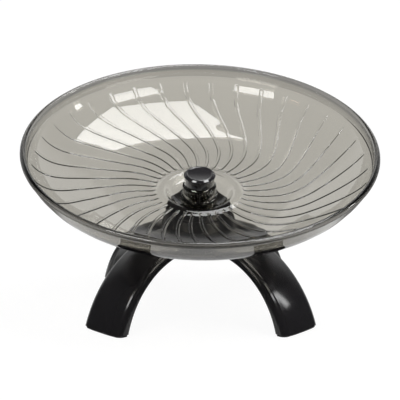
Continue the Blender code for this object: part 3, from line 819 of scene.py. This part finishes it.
@dataclass(frozen=True)
class HubCap:
    """Black snap-on cap: overhanging brim, waist, skirt, and a shallow bare dish on top.

    The rounds of its corners are in millimetres.
    """

    top: float = 33.7 * MM
    radius: float = 13.75 * MM
    waist_inset: float = 0.7 * MM
    brim: float = 2.4 * MM
    bevel_run: float = 1.9 * MM
    bevel_drop: float = 1.65 * MM
    wall: float = 1.6 * MM
    seat: float = 24.1 * MM
    skirt_outer: float = 11.0 * MM
    skirt_bottom: float = 22.6 * MM
    dish_radius: float = 10.9 * MM
    dish_depth: float = 0.45 * MM
    dish_slope: float = 0.5 * MM
    rounds: tuple[float, ...] = (
        0.0, 0.3, 0.3, 0.5, 0.6, 0.6, 0.4, 0.3, 0.2, 0.3, 0.3, 0.3, 0.4, 0.5, 0.0)
    round_steps: int = 6
    sharp_degrees: float = 50.0
    segments: int = 96

    def profile(self) -> Array:
        """Half section from the middle of the top, round the outside, to the middle of the inside.

        Returns:
            Rows of radius and height.
        """
        waist = self.radius - self.waist_inset
        inner = self.skirt_outer - self.wall
        under_brim = self.top - self.brim
        dish = self.top - self.dish_depth
        corners = [(0.0, dish), (self.dish_radius - self.dish_slope, dish),
                   (self.dish_radius, self.top), (self.radius - self.bevel_run, self.top),
                   (self.radius, self.top - self.bevel_drop), (self.radius, under_brim),
                   (waist, under_brim - self.waist_inset), (waist, self.seat),
                   (self.skirt_outer, self.seat), (self.skirt_outer, self.skirt_bottom),
                   (inner, self.skirt_bottom), (inner, self.seat + self.wall),
                   (waist - self.wall, self.seat + self.wall + self.waist_inset),
                   (waist - self.wall, dish - self.wall), (0.0, dish - self.wall)]
        return round_corners(corners, np.array(self.rounds) * MM, self.round_steps, closed=False)

    def build(self, place: Place, finish: Material) -> None:
        """Adds the cap's piece.

        Args:
            place: frame of the axle.
            finish: the cap's material.
        """
        rows = place.world(turned_rows(self.profile(), self.segments))
        shell = shade(grid_mesh("hub_cap_shell", rows, False), self.sharp_degrees)
        add_piece("hub_cap_shell", shell, Body.SAUCER, finish, ["hub_cap"])


# ---------------- bearings and axle

@dataclass(frozen=True)
class Bearing:
    """Shielded ball bearing of the 8 x 22 x 7 size, worked out about the axle."""

    prefix: str
    middle: float
    cage_body: Body
    bore: float = 4.0 * MM
    outer: float = 11.0 * MM
    width: float = 7.0 * MM
    ball: float = 1.98 * MM
    pitch: float = 7.5 * MM
    balls: int = 7
    play: float = 0.06 * MM
    inner_shoulder: float = 6.05 * MM
    outer_shoulder: float = 9.2 * MM
    seat_step: float = 0.7 * MM
    seat_depth: float = 0.5 * MM
    shield: float = 0.35 * MM
    round_steps: int = 3
    shield_steps: int = 2
    lip_round: float = 0.1 * MM
    outer_round: float = 0.4 * MM
    inner_round: float = 0.2 * MM
    shield_round: float = 0.08 * MM
    race_points: int = 13
    pole_gap: float = 0.04
    ball_rings: int = 13
    ball_segments: int = 20
    segments: int = 72

    def race(self, side: int) -> Array:
        """Race from the top down: a part circle about the ball's middle, a little larger than it.

        Args:
            side: 1 for the outer ring's race, -1 for the inner ring's.

        Returns:
            Rows of radius and height about the bearing's middle.
        """
        shoulder = self.outer_shoulder if side > 0 else self.inner_shoulder
        depth = self.ball + self.play
        half = math.acos(abs(shoulder - self.pitch) / depth)
        angle = np.linspace(half, -half, self.race_points)
        return np.column_stack([self.pitch + side * depth * np.cos(angle), depth * np.sin(angle)])

    def ring_profiles(self) -> dict[str, Array]:
        """Closed half sections of the two rings and two shields.

        Returns:
            Each part's name with its section about the bearing's middle.
        """
        half = self.width / 2
        seat = half - self.seat_depth
        mouth = self.outer_shoulder + self.seat_step
        back = [(self.outer_shoulder, seat), (mouth, seat), (mouth, half), (self.outer, half)]
        rounds = [0.0, 0.0, self.lip_round, self.outer_round]
        outer = round_corners(back + [(radius, -height) for radius, height in back[::-1]],
                              rounds + rounds[::-1], self.round_steps)
        inner = round_corners([(self.inner_shoulder, -half), (self.bore, -half), (self.bore, half),
                               (self.inner_shoulder, half)], self.inner_round, self.round_steps)
        profiles = {"outer_ring": np.vstack([outer, self.race(1)[::-1]]),
                    "inner_ring": np.vstack([inner, self.race(-1)])}
        inside, outside = self.inner_shoulder + FIT_GAP, mouth - FIT_GAP
        for label, sign in (("upper", 1), ("lower", -1)):
            face, back = sign * half, sign * (half - self.shield)
            profiles[f"{label}_shield"] = round_corners(
                [(outside, face), (outside, back), (inside, back), (inside, face)],
                self.shield_round, self.shield_steps)
        return profiles

    def ball_rows(self) -> list[Array]:
        """The balls, each a sphere of latitude and longitude about its place on the pitch circle.

        Returns:
            A grid of points in the axle's frame for each ball.
        """
        tilt = np.linspace(self.pole_gap, np.pi - self.pole_gap, self.ball_rings)
        profile = self.ball * np.column_stack([np.sin(tilt), np.cos(tilt)])
        unit = turned_rows(profile, self.ball_segments, self.middle)
        turn = 2 * np.pi * np.arange(self.balls) / self.balls
        return [unit + self.pitch * np.array([math.cos(a), math.sin(a), 0.0]) for a in turn]

    def build(self, place: Place, steel: Material) -> None:
        """Adds the rings, shields and balls.

        Args:
            place: frame of the axle.
            steel: material of every part.
        """
        for part, profile in self.ring_profiles().items():
            body = Body.STAND if part == "inner_ring" else Body.SAUCER
            node = f"{self.prefix}_bearing_{part}"
            rows = place.world(turned_rows(profile, self.segments, self.middle))
            add_piece(f"{node}_turned", shade(grid_mesh(node, rows, True)), body,
                      steel, [node])
        for index, rows in enumerate(self.ball_rows(), start=1):
            node = f"{self.prefix}_bearing_ball_{index}"
            add_piece(f"{node}_round", shade(grid_mesh(node, place.world(rows), False)), self.cage_body,
                      steel, [node])


@dataclass(frozen=True)
class AxleSet:
    """Hexagon bolt, nut, washer and the two spacers on the axle.

    The spans of the spacers run from a low to a high end in millimetres.
    """

    bolt_radius: float = 3.7 * MM
    bore: float = 4.0 * MM
    spacer: float = 5.8 * MM
    spacer_round: float = 0.2 * MM
    round_steps: int = 3
    spacer_spans: tuple[tuple[str, float, float], ...] = (
        ("lower_spacer", 0.3, 3.5), ("bearing_spacer", 11.1, 14.7), ("top_washer", 22.3, 23.7))
    flats: float = 13.0 * MM
    flat_share: float = 0.97
    side_shares: tuple[float, ...] = (0.0, 0.3, 0.6, 0.8, 0.9, 1.0)
    chamfer_slope: float = math.tan(math.radians(30.0))
    head_top: float = -4.3 * MM
    head_height: float = 5.3 * MM
    head_middle_share: float = 0.2
    nut_bottom: float = 24.0 * MM
    nut_height: float = 4.0 * MM
    bolt_end: float = 28.6 * MM
    shank_overlap: float = 0.4 * MM
    thread_start: float = 15.0 * MM
    thread_pitch: float = 1.25 * MM
    thread_depth: float = 0.28 * MM
    thread_rings: int = 90
    thread_segments: int = 36
    end_taper: float = 0.6 * MM
    segments: int = 72

    def hexagon(self, angle: Array) -> Array:
        """Distance from the middle to a hexagon's side: half its flats over the cosine from a flat."""
        sixth = 2 * np.pi / HEX_SIDES
        return self.flats / 2 / np.cos((angle % sixth) - sixth / 2)

    def hex_rows(self, bottom: float, height: float, bore: float, both: bool) -> Array:
        """Hexagon with its corners taken off by a shallow cone, as rows round its section.

        Each row is a share of the way to the hexagon's side. Past the round of the flats the face
        falls by the cone's slope times the distance beyond that round.

        Args:
            bottom: lower face.
            height: from the lower to the upper face.
            bore: radius of the hole or of the head's flat middle.
            both: whether the upper face is chamfered too.

        Returns:
            Rows of points in the axle's frame.
        """
        angle = full_turn(self.segments)
        share = np.array(self.side_shares)[:, None]
        radius = bore + (self.hexagon(angle) - bore) * share
        fall = np.maximum(radius - self.flats / 2 * self.flat_share, 0.0) * self.chamfer_slope
        ring = np.concatenate([bottom + fall, (bottom + height - fall * both)[::-1]])
        reach = np.concatenate([radius, radius[::-1]])
        return np.stack([reach * np.cos(angle), reach * np.sin(angle), ring], axis=-1)

    def thread_rows(self) -> Array:
        """Shank with a fine thread at its end.

        Over the thread the radius falls by the depth times half of one less the cosine of the
        angle that the height makes at one turn to a pitch, less the angle round the shank.

        Returns:
            Rows of points in the axle's frame.
        """
        height = np.concatenate([
            [self.head_top - self.shank_overlap],
            np.linspace(self.thread_start, self.bolt_end - self.end_taper, self.thread_rings),
            [self.bolt_end]])[:, None]
        angle = full_turn(self.thread_segments)
        wave = 0.5 - 0.5 * np.cos(2 * np.pi * height / self.thread_pitch - angle)
        threaded = (height > self.thread_start) & (height < self.bolt_end)
        radius = self.bolt_radius - self.thread_depth * threaded * wave
        radius[-1] = self.bolt_radius - self.end_taper
        return np.stack([radius * np.cos(angle), radius * np.sin(angle),
                         np.broadcast_to(height, radius.shape)], axis=-1)

    def bolt(self, place: Place) -> Mesh:
        """Head and shank in one mesh.

        Args:
            place: frame of the axle.

        Returns:
            The bolt's mesh.
        """
        head = self.hex_rows(self.head_top - self.head_height, self.head_height,
                             self.bolt_radius * self.head_middle_share, False)
        whole = bmesh.new()
        for part, rows in (("head", head), ("shank", self.thread_rows())):
            whole.from_mesh(grid_mesh(f"axle_bolt_{part}", place.world(rows), False))
        mesh = bpy.data.meshes.new("axle_bolt_whole")
        whole.to_mesh(mesh)
        whole.free()
        return mesh

    def build(self, place: Place, steel: Material) -> None:
        """Adds the bolt, nut, washer and spacers.

        Args:
            place: frame of the axle.
            steel: material of every part.
        """
        nut = self.hex_rows(self.nut_bottom, self.nut_height, self.bore, True)
        pieces = [("axle_bolt", "turned", self.bolt(place)),
                  ("lock_nut", "cut", grid_mesh("lock_nut", place.world(nut), True))]
        for node, low, high in self.spacer_spans:
            section = round_corners([(self.spacer, high * MM), (self.spacer, low * MM),
                                     (self.bore, low * MM), (self.bore, high * MM)],
                                    self.spacer_round, self.round_steps)
            rows = place.world(turned_rows(section, self.segments))
            pieces.append((node, "turned", grid_mesh(node, rows, True)))
        for node, make, mesh in pieces:
            add_piece(f"{node}_{make}", shade(mesh), Body.STAND, steel, [node])


# ---------------- stand

@dataclass(frozen=True)
class Stand:
    """Black moulded stand: leaning platform, flaring turret and four arched channel legs.

    The levels and insets of its foot pads are in millimetres.
    """

    lean: float = math.radians(20.0)
    platform_height: float = 86.9 * MM
    platform_radius: float = 28.3 * MM
    platform_thickness: float = 4.0 * MM
    platform_edge: float = 1.5 * MM
    platform_ahead: float = 4.7 * MM
    flare: float = 8.5 * MM
    turret_wall: float = 3.2 * MM
    front_azimuth: float = math.radians(45.0)
    back_azimuth: float = math.radians(37.0)
    leg_width: float = 45.7 * MM
    leg_wall: float = 3.0 * MM
    leg_crown: float = 1.0 * MM
    leg_edge: float = 6.8 * MM
    arch_top: float = 70.2 * MM
    arch_radius: float = 101.5 * MM
    foot_reach: float = 118.3 * MM
    under_radius: float = 76.2 * MM
    depth_top: float = 12.4 * MM
    depth_foot: float = 11.0 * MM
    leg_start: float = 9.0 * MM
    foot_plane: float = 1.8 * MM
    foot_recess: float = 0.8 * MM
    flange_round: float = 0.7 * MM
    lip_points: int = 4
    web_drop: Pair = (0.8, 0.1)
    bolt_boss_wall: float = 3.0 * MM
    bolt_boss_start: float = 2.0 * MM
    overrun: float = 4.0 * MM
    weld: float = 0.005 * MM
    pad_inset: float = 0.8 * MM
    pad_step: float = 0.2 * MM
    pad_corner: float = 0.6 * MM
    pad_levels: tuple[float, ...] = (0.0, 0.15, 0.4, 1.1, 1.35, 1.5)
    pad_insets: tuple[float, ...] = (0.35, 0.1, 0.0, 0.0, 0.1, 0.3)
    stations: int = 44
    arc_points: int = 9
    turret_sections: int = 17
    edge_points: int = 7
    sharp_degrees: float = 30.0
    rod_segments: int = 48
    segments: int = 96

    @property
    def centre_y(self) -> float:
        """Place of the stand's upright middle line along Y."""
        return Place.of_joint(AXLE_JOINT).origin[1] - self.platform_ahead

    def arch(self, share: Array) -> tuple[Array, Array]:
        """Back line and open side of a leg in its own upright plane.

        Both are arcs of circles: the back runs from the top of its circle down to the foot. The
        open side is where a ray from the back, turned evenly from straight down at the top to
        level at the foot, meets the smaller circle.

        Args:
            share: shares of the leg's length.

        Returns:
            Points of the back and of the open side.
        """
        back_z = self.arch_top - self.arch_radius
        foot = math.asin((self.foot_plane - back_z) / self.arch_radius)
        middle = np.array([self.foot_reach - self.arch_radius * math.cos(foot), back_z])
        under_z = self.arch_top - self.depth_top - self.under_radius
        under_foot = math.sqrt(self.under_radius**2 - (self.foot_plane - under_z) ** 2)
        under = np.array([self.foot_reach - self.depth_foot - under_foot, under_z])
        angle = np.pi / 2 + (foot - np.pi / 2) * share
        back = middle + self.arch_radius * np.column_stack([np.cos(angle), np.sin(angle)])
        turn = -np.pi / 2 * (1 + share)
        inward = np.column_stack([np.cos(turn), np.sin(turn)])
        offset = back - under
        along = np.sum(offset * inward, axis=1)
        reach = -along - np.sqrt(along**2 - (np.sum(offset**2, axis=1) - self.under_radius**2))
        return back, back + inward * reach[:, None]

    def leg_rows(self) -> Array:
        """Leg along +X in its own frame.

        Its section is a U: a back crowned by a parabola, rounded edges, two flanges and a web.
        The flanges reach the open side, and near the foot the web moves down to close it.

        Returns:
            Rows of points round each section.
        """
        share = np.linspace(0.0, 1.0, self.stations)
        back, under = (np.vstack([[self.leg_start, line[0, 1]], line]) for line in self.arch(share))
        share = np.concatenate([[0.0], share])
        inward = under - back
        depth = np.linalg.norm(inward, axis=1)[:, None]
        inward /= depth
        half = self.leg_width / 2
        channel = half - self.leg_wall
        flat = half - self.leg_edge
        inner = self.leg_edge - self.leg_wall
        line = np.linspace(0.0, flat, self.arc_points)
        crown = self.leg_crown * (line / flat) ** 2
        turn = quarter_turn(self.arc_points)[1:]
        top = np.array([np.concatenate([line, flat + self.leg_edge * np.sin(turn)]),
                        np.concatenate([crown, self.leg_crown + self.leg_edge * (1 - np.cos(turn))])])
        hollow = np.array([np.concatenate([line, flat + inner * np.sin(turn)]),
                           np.concatenate([self.leg_wall + crown, self.leg_crown + self.leg_edge
                                           - inner * np.cos(turn)])])[:, ::-1]
        lip, soft = quarter_turn(self.lip_points), self.flange_round
        outer_lip, inner_lip = soft * (np.sin(lip) - 1), soft * (np.cos(lip) - 1)
        start, run = self.web_drop
        close = smoothstep((share - start) / run)[:, None]
        web = hollow[1] * (1 - close) + (depth - self.foot_recess) * close
        across = np.concatenate([top[0], half + inner_lip, channel - outer_lip, hollow[0]])
        deep = np.hstack([np.broadcast_to(top[1], (len(depth), top.shape[1])), depth + outer_lip,
                          depth + inner_lip, web])
        across = np.concatenate([across, -across[1:-1][::-1]])
        deep = np.hstack([deep, deep[:, 1:-1][:, ::-1]])
        place = back[:, None, :] + inward[:, None, :] * deep[:, :, None]
        return np.stack([place[..., 0], np.broadcast_to(across, deep.shape), place[..., 1]], axis=-1)

    def leg_place(self, azimuth: float) -> Place:
        """Frame of a leg at an azimuth from the front."""
        out = (math.sin(azimuth), -math.cos(azimuth), 0.0)
        return Place((0.0, self.centre_y, 0.0), out, (-out[1], out[0], 0.0), (0.0, 0.0, 1.0))

    def turret_rows(self, inset: float, top_drop: float, bottom_drop: float, edge: float) -> Array:
        """Loft from the leaning platform down to a level ring.

        Each section is a circle whose middle goes evenly from the platform's to the stand's middle
        line, whose lean fades out, and whose radius grows evenly by the flare.

        Args:
            inset: how much smaller its radius is than the outer face's.
            top_drop: how far below the platform's face it starts.
            bottom_drop: how far below the legs' open side it ends.
            edge: round of its upper edge.

        Returns:
            Rows of points.
        """
        _, under = self.arch(np.array([0.0]))
        normal = np.array([0.0, -math.sin(self.lean), math.cos(self.lean)])
        top = np.array([0.0, self.platform_ahead, self.platform_height]) - normal * top_drop
        bottom = np.array([0.0, 0.0, under[0, 1] - bottom_drop])
        share = np.linspace(0.0, 1.0, self.turret_sections)
        middle = top + (bottom - top) * share[:, None]
        lean = self.lean * (1 - share)
        radius = self.platform_radius - inset + self.flare * share
        if edge > 0:
            turn = quarter_turn(self.edge_points)[-2::-1]
            rim = top - normal * (edge * (1 - np.sin(turn)))[:, None]
            radius = np.concatenate([radius[0] - edge + edge * np.cos(turn), radius[1:]])
            middle = np.vstack([rim, middle[1:]])
            lean = np.concatenate([np.full(len(turn), self.lean), lean[1:]])
        angle = full_turn(self.segments)
        x = radius[:, None] * np.cos(angle)
        y = radius[:, None] * np.sin(angle)
        lean = lean[:, None]
        return np.stack([middle[:, :1] + x, middle[:, 1:2] + y * np.cos(lean) + self.centre_y,
                         middle[:, 2:] + y * np.sin(lean)], axis=-1)

    def moulding(self, axle: Place) -> Mesh:
        """Joins the turret and right legs, mirrors them, and cuts the hollow, pocket and hole.

        Args:
            axle: frame of the axle, which the pocket and the hole follow.

        Returns:
            The stand's mesh.
        """
        floor = -self.platform_thickness
        below = floor - AxleSet.head_height
        corner = AxleSet.flats / 2 / math.cos(math.pi / HEX_SIDES) + FIT_GAP
        boss = corner + self.bolt_boss_wall
        rods = [axle.world(turned_rows(np.array([(radius, high), (radius, low)]), sides))
                for radius, high, low, sides in (
                    (boss, -self.bolt_boss_start, below, self.rod_segments),
                    (corner, floor, below - self.overrun, HEX_SIDES),
                    (AxleSet.bore, self.overrun, floor - self.overrun, self.rod_segments))]
        legs = [self.leg_place(azimuth).world(self.leg_rows())
                for azimuth in (self.front_azimuth, math.pi - self.back_azimuth)]
        hollow = self.turret_rows(self.turret_wall, self.platform_thickness, self.overrun, 0.0)
        turret = self.turret_rows(0.0, 0.0, 0.0, self.platform_edge)
        base = add_object("turret_tool", grid_mesh("turret_tool", turret, False))
        tools = [base]
        for operation, rows in (("UNION", legs[0]), ("UNION", legs[1]), ("MIRROR", None),
                                ("DIFFERENCE", hollow), ("UNION", rods[0]), ("DIFFERENCE", rods[1]),
                                ("DIFFERENCE", rods[2])):
            if operation == "MIRROR":
                halves = base.modifiers.new("halves", operation)
                halves.use_bisect_axis[0] = True
                halves.merge_threshold = halves.bisect_threshold = self.weld
                continue
            name = f"stand_tool_{len(tools)}"
            tools.append(add_object(name, grid_mesh(name, rows, False)))
            step = base.modifiers.new(name, "BOOLEAN")
            step.operation = operation
            step.solver = "EXACT"
            step.object = tools[-1]
        graph = bpy.context.evaluated_depsgraph_get()
        mesh = bpy.data.meshes.new_from_object(base.evaluated_get(graph))
        for tool in tools:
            bpy.data.objects.remove(tool, do_unlink=True)
        return mesh

    def pad_rows(self) -> Array:
        """Sole under a foot in the leg's frame: the foot's outline drawn in, with rounded edges.

        Returns:
            A grid of points, with a row for each level of the pad.
        """
        half = self.leg_width / 2 - self.pad_inset
        back = self.foot_reach - self.pad_inset - self.pad_step
        front = self.foot_reach - self.depth_foot + self.pad_inset
        edge = self.leg_edge - self.pad_inset
        flat = half - edge
        across = np.linspace(-flat, flat, self.arc_points)
        turn = quarter_turn(self.edge_points)[1:]
        corner = np.column_stack([back - self.leg_crown - edge * (1 - np.cos(turn)),
                                  flat + edge * np.sin(turn)])
        crown = np.column_stack([back - self.leg_crown * (across / flat) ** 2, across])
        box = [(back, half), (front, half), (front, -half), (back, -half)]
        _, *ends, _ = np.split(round_corners(box, self.pad_corner), len(box))
        outline = np.vstack([corner[::-1] * (1, -1), crown, corner, *ends])
        middle = outline.mean(axis=0)
        inset, height = (np.array(sizes)[:, None] * MM for sizes in (self.pad_insets, self.pad_levels))
        scale = 1 - inset / np.linalg.norm(outline - middle, axis=1)
        spread = middle + (outline - middle) * scale[:, :, None]
        return np.dstack([spread, np.broadcast_to(height, scale.shape)])

    def build(self, axle: Place, black: Material, rubber: Material) -> None:
        """Adds the stand's moulding and its four foot pads.

        Args:
            axle: frame of the axle.
            black: the moulding's material.
            rubber: the pads' material.
        """
        add_piece("stand_moulding", shade(self.moulding(axle), self.sharp_degrees), Body.STAND,
                  black, ["stand"])
        for corner, azimuth in (("front", self.front_azimuth), ("back", math.pi - self.back_azimuth)):
            for side, sign in (("right", 1), ("left", -1)):
                node = f"{corner}_{side}_foot_pad"
                rows = self.leg_place(sign * azimuth).world(self.pad_rows())
                add_piece(f"{node}_sole", shade(grid_mesh(node, rows, False)), Body.STAND,
                          rubber, [node])


# ---------------- studio

@dataclass(frozen=True)
class Softbox:
    """One soft lamp: a lit panel that faces a point.

    Its power is its radiance times its area times pi.
    """

    name: str
    middle: Point
    size: Pair
    radiance: float
    colour: Colour = (1.0, 1.0, 1.0)

    def build(self, target: Point) -> None:
        """Adds the lamp, turned to the target.

        Args:
            target: point that the lamp faces.
        """
        lamp = bpy.data.lights.new(self.name, "AREA")
        lamp.shape = "RECTANGLE"
        lamp.size, lamp.size_y = self.size
        lamp.energy = self.radiance * self.size[0] * self.size[1] * math.pi
        lamp.color = self.colour
        placed = add_object(self.name, lamp)
        placed.location = self.middle
        aim = Vector(target) - Vector(self.middle)
        placed.rotation_euler = aim.to_track_quat("-Z", "Y").to_euler()


@dataclass(frozen=True)
class Studio:
    """Camera of the photograph, soft lamps, and a white floor and surround.

    A zone is a band over which a mask climbs: its near edge and its width, in metres on the floor
    and in shares of a direction in the surround.
    """

    camera_place: Point = (-0.0382, -1.0365, 0.3287)
    camera_turn: Point = (77.414, -0.448, -2.017)
    lens: float = 111.4686
    sensor: float = 36.0
    clip_end: float = 50.0
    floor_half: float = 6.0
    floor_drop: float = 0.5 * MM
    paint: float = 0.84
    # Grey of the painted shade on the floor, seen in mirrored rays away from the stand and through the
    # plastic.
    painted_shade_grey: float = 0.2
    # Zone past which mirrored rays see painted shade instead of the painted white reflection near the
    # stand.
    painted_reflection_zone: Pair = (0.16, 0.12)
    # Painted shadow: a darker disc under the saucer, seen through the plastic.
    painted_shadow_zone: Pair = (0.12, 0.12)
    painted_shadow_share: float = 0.8
    # Painted shade: a darker band beside the stand, seen through the plastic.
    painted_side_shade_zone: Pair = (0.27, 0.12)
    painted_side_shade_end: Pair = (0.7, 0.3)
    painted_side_shade_slant: float = 0.2
    glow: float = 1.07
    # Painted light: the floor's white glow grows towards the back.
    painted_back_light: float = 0.07
    painted_back_light_zone: Pair = (0.4, 1.5)
    seen_glow: float = 0.88
    # Painted reflection: share of white glow that mirrored rays see near the stand.
    painted_reflection_glow: float = 0.6
    dim: float = 0.08
    backdrop: float = 0.72
    seen_back: Pair = (0.8, 0.14)
    seen_top: Pair = (0.4, 0.3)
    seen_fall: float = 0.6
    mirror_back: Pair = (0.35, 0.35)
    mirror_top: Pair = (0.73, 0.06)
    aim: Point = (0.0, 0.0, 0.12)
    softboxes: tuple[Softbox, ...] = (
        Softbox("overhead_softbox", (0.265, 0.07, 1.20), (0.68, 0.59), 6.6),
        Softbox("right_front_softbox", (0.58, -0.52, 0.92), (0.50, 0.34), 7.5),
        Softbox("left_front_softbox", (-0.52, -0.66, 0.84), (0.42, 0.30), 7.5),
        Softbox("right_side_softbox", (0.95, -0.02, 0.62), (0.09, 0.26), 9.0),
        Softbox("warm_lamp", (-0.81, -0.31, 0.83), (0.12, 0.05), 4.0, (1.0, 0.72, 0.5)))

    def camera(self) -> None:
        """Adds the camera, with the place and lens worked out from the photograph."""
        data = bpy.data.cameras.new("photo_camera")
        data.lens = self.lens
        data.sensor_width = self.sensor
        data.clip_end = self.clip_end
        made = add_object("photo_camera", data)
        made.location = self.camera_place
        made.rotation_euler = [math.radians(a) for a in self.camera_turn]
        bpy.context.scene.camera = made

    def floor_material(self) -> Material:
        """White to the camera and through clear plastic, and a lit sheet to the other rays.

        It carries painted light and shade. Through the plastic it shows a painted shadow in a disc under
        the saucer and a painted dark band beside it. To mirrored rays it is painted grey away from the
        stand and glows white near it, a painted reflection. Its white glow grows towards the back, which
        is painted light.

        Returns:
            The floor's material.
        """
        sketch = Sketch("white_floor")
        camera, through, glossy = sketch.rays("Camera", "Transmission", "Glossy")
        x, y = sketch.split(sketch.place, "XY")
        mirror = glossy * (1.0 - through)
        reach = (x * x + y * y) ** 0.5
        # Mask for painted shade in reflections away from the stand; its inverse gives the painted
        # reflection glow near the stand.
        away = reach.above(*self.painted_reflection_zone)
        across = (x * x) ** 0.5 - y * self.painted_side_shade_slant
        # Painted shadow: darker disc under the saucer.
        under = self.painted_shadow_share * (1.0 - reach.above(*self.painted_shadow_zone))
        # Painted shade beside the stand, together with the painted shadow, seen through the plastic.
        side = across.above(*self.painted_side_shade_zone) * (1.0 - across.above(*self.painted_side_shade_end)) + under
        seen = camera + through * (1.0 - side)
        # White glow, with painted light growing towards the back.
        white = sketch.node("ShaderNodeEmission", {}, {
            "Color": WHITE, "Strength": self.glow + self.painted_back_light * y.above(*self.painted_back_light_zone)})
        # Painted shade: the sheet turns grey where the painted shade and painted shadow masks fall.
        tone = sketch.mix(mirror * away + through * side, (self.paint,) * 3, (self.painted_shade_grey,) * 3)
        paint = sketch.node("ShaderNodeBsdfDiffuse", {}, {"Color": tone})
        # Painted reflection: the floor glows white to mirrored rays near the stand.
        share = seen * self.seen_glow + mirror * (1.0 - away) * self.painted_reflection_glow
        sketch.close(sketch.node("ShaderNodeMixShader", {}, {
            0: share, 1: paint.outputs[0], 2: white.outputs[0]}))
        return sketch.material

    def floor(self) -> None:
        """Adds the floor."""
        half = self.floor_half
        mesh = bpy.data.meshes.new("studio_floor")
        mesh.from_pydata([(-half, -half, 0), (half, -half, 0), (half, half, 0), (-half, half, 0)], [],
                         [(0, 1, 2, 3)])
        mesh.materials.append(self.floor_material())
        made = add_object("studio_floor", mesh)
        made.location.z = -self.floor_drop
        made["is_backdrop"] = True

    def surround(self) -> None:
        """White surround for the camera, and a white backdrop in a dark studio for the other rays."""
        world = bpy.data.worlds.new("white_surround")
        bpy.context.scene.world = world
        world.use_nodes = True
        sketch = Sketch.on(world.node_tree, "ShaderNodeOutputWorld")
        camera, through = sketch.rays("Camera", "Transmission")
        y, z = sketch.split(sketch.node("ShaderNodeTexCoord").outputs["Generated"], "YZ")
        seen = through * y.above(*self.seen_back) * (1.0 - self.seen_fall * z.above(*self.seen_top))
        mirrored = (1.0 - through) * y.above(*self.mirror_back) * (1.0 - z.above(*self.mirror_top))
        level = camera + (1.0 - camera) * (self.dim + self.backdrop * (seen + mirrored))
        sketch.close(sketch.node("ShaderNodeBackground", {}, {"Color": WHITE, "Strength": level}))

    def build(self) -> None:
        """Adds everything that the object stands in."""
        self.camera()
        self.floor()
        self.surround()
        for softbox in self.softboxes:
            softbox.build(self.aim)
        bpy.context.scene.view_settings.view_transform = "Standard"


# ---------------- making

def corners() -> list[list[float]]:
    """The shown object's lowest and highest corners as plain numbers."""
    return [list(map(float, corner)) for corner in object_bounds()]


def main() -> None:
    """Builds every piece in order."""
    logging.basicConfig(level=logging.INFO, format="%(message)s")
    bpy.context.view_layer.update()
    smoke = SmokeClearPlastic().make()
    black = BlackGlossPlastic().make()
    polished = BlackGlossPlastic("polished_black_plastic", gloss=0.05, coat=1.0).make()
    steel = BRIGHT_STEEL.make()
    nylon = SATIN_NYLON.make()
    rubber = SOFT_RUBBER.make()
    axle = Place.of_joint(AXLE_JOINT)
    Saucer().build(axle, smoke)
    HubCap().build(axle, polished)
    Bearing("lower", middle=7.3 * MM, cage_body=Body.LOWER_CAGE).build(axle, steel)
    Bearing("upper", middle=18.5 * MM, cage_body=Body.UPPER_CAGE).build(axle, steel)
    AxleSet().build(axle, steel)
    Stand().build(axle, black, rubber)
    for node, cad in frame["nodes"].items():
        if node.endswith("cage"):
            cad.data.materials.clear()
            cad.data.materials.append(nylon)
    Studio().build()


if __name__ == "__main__":
    main()
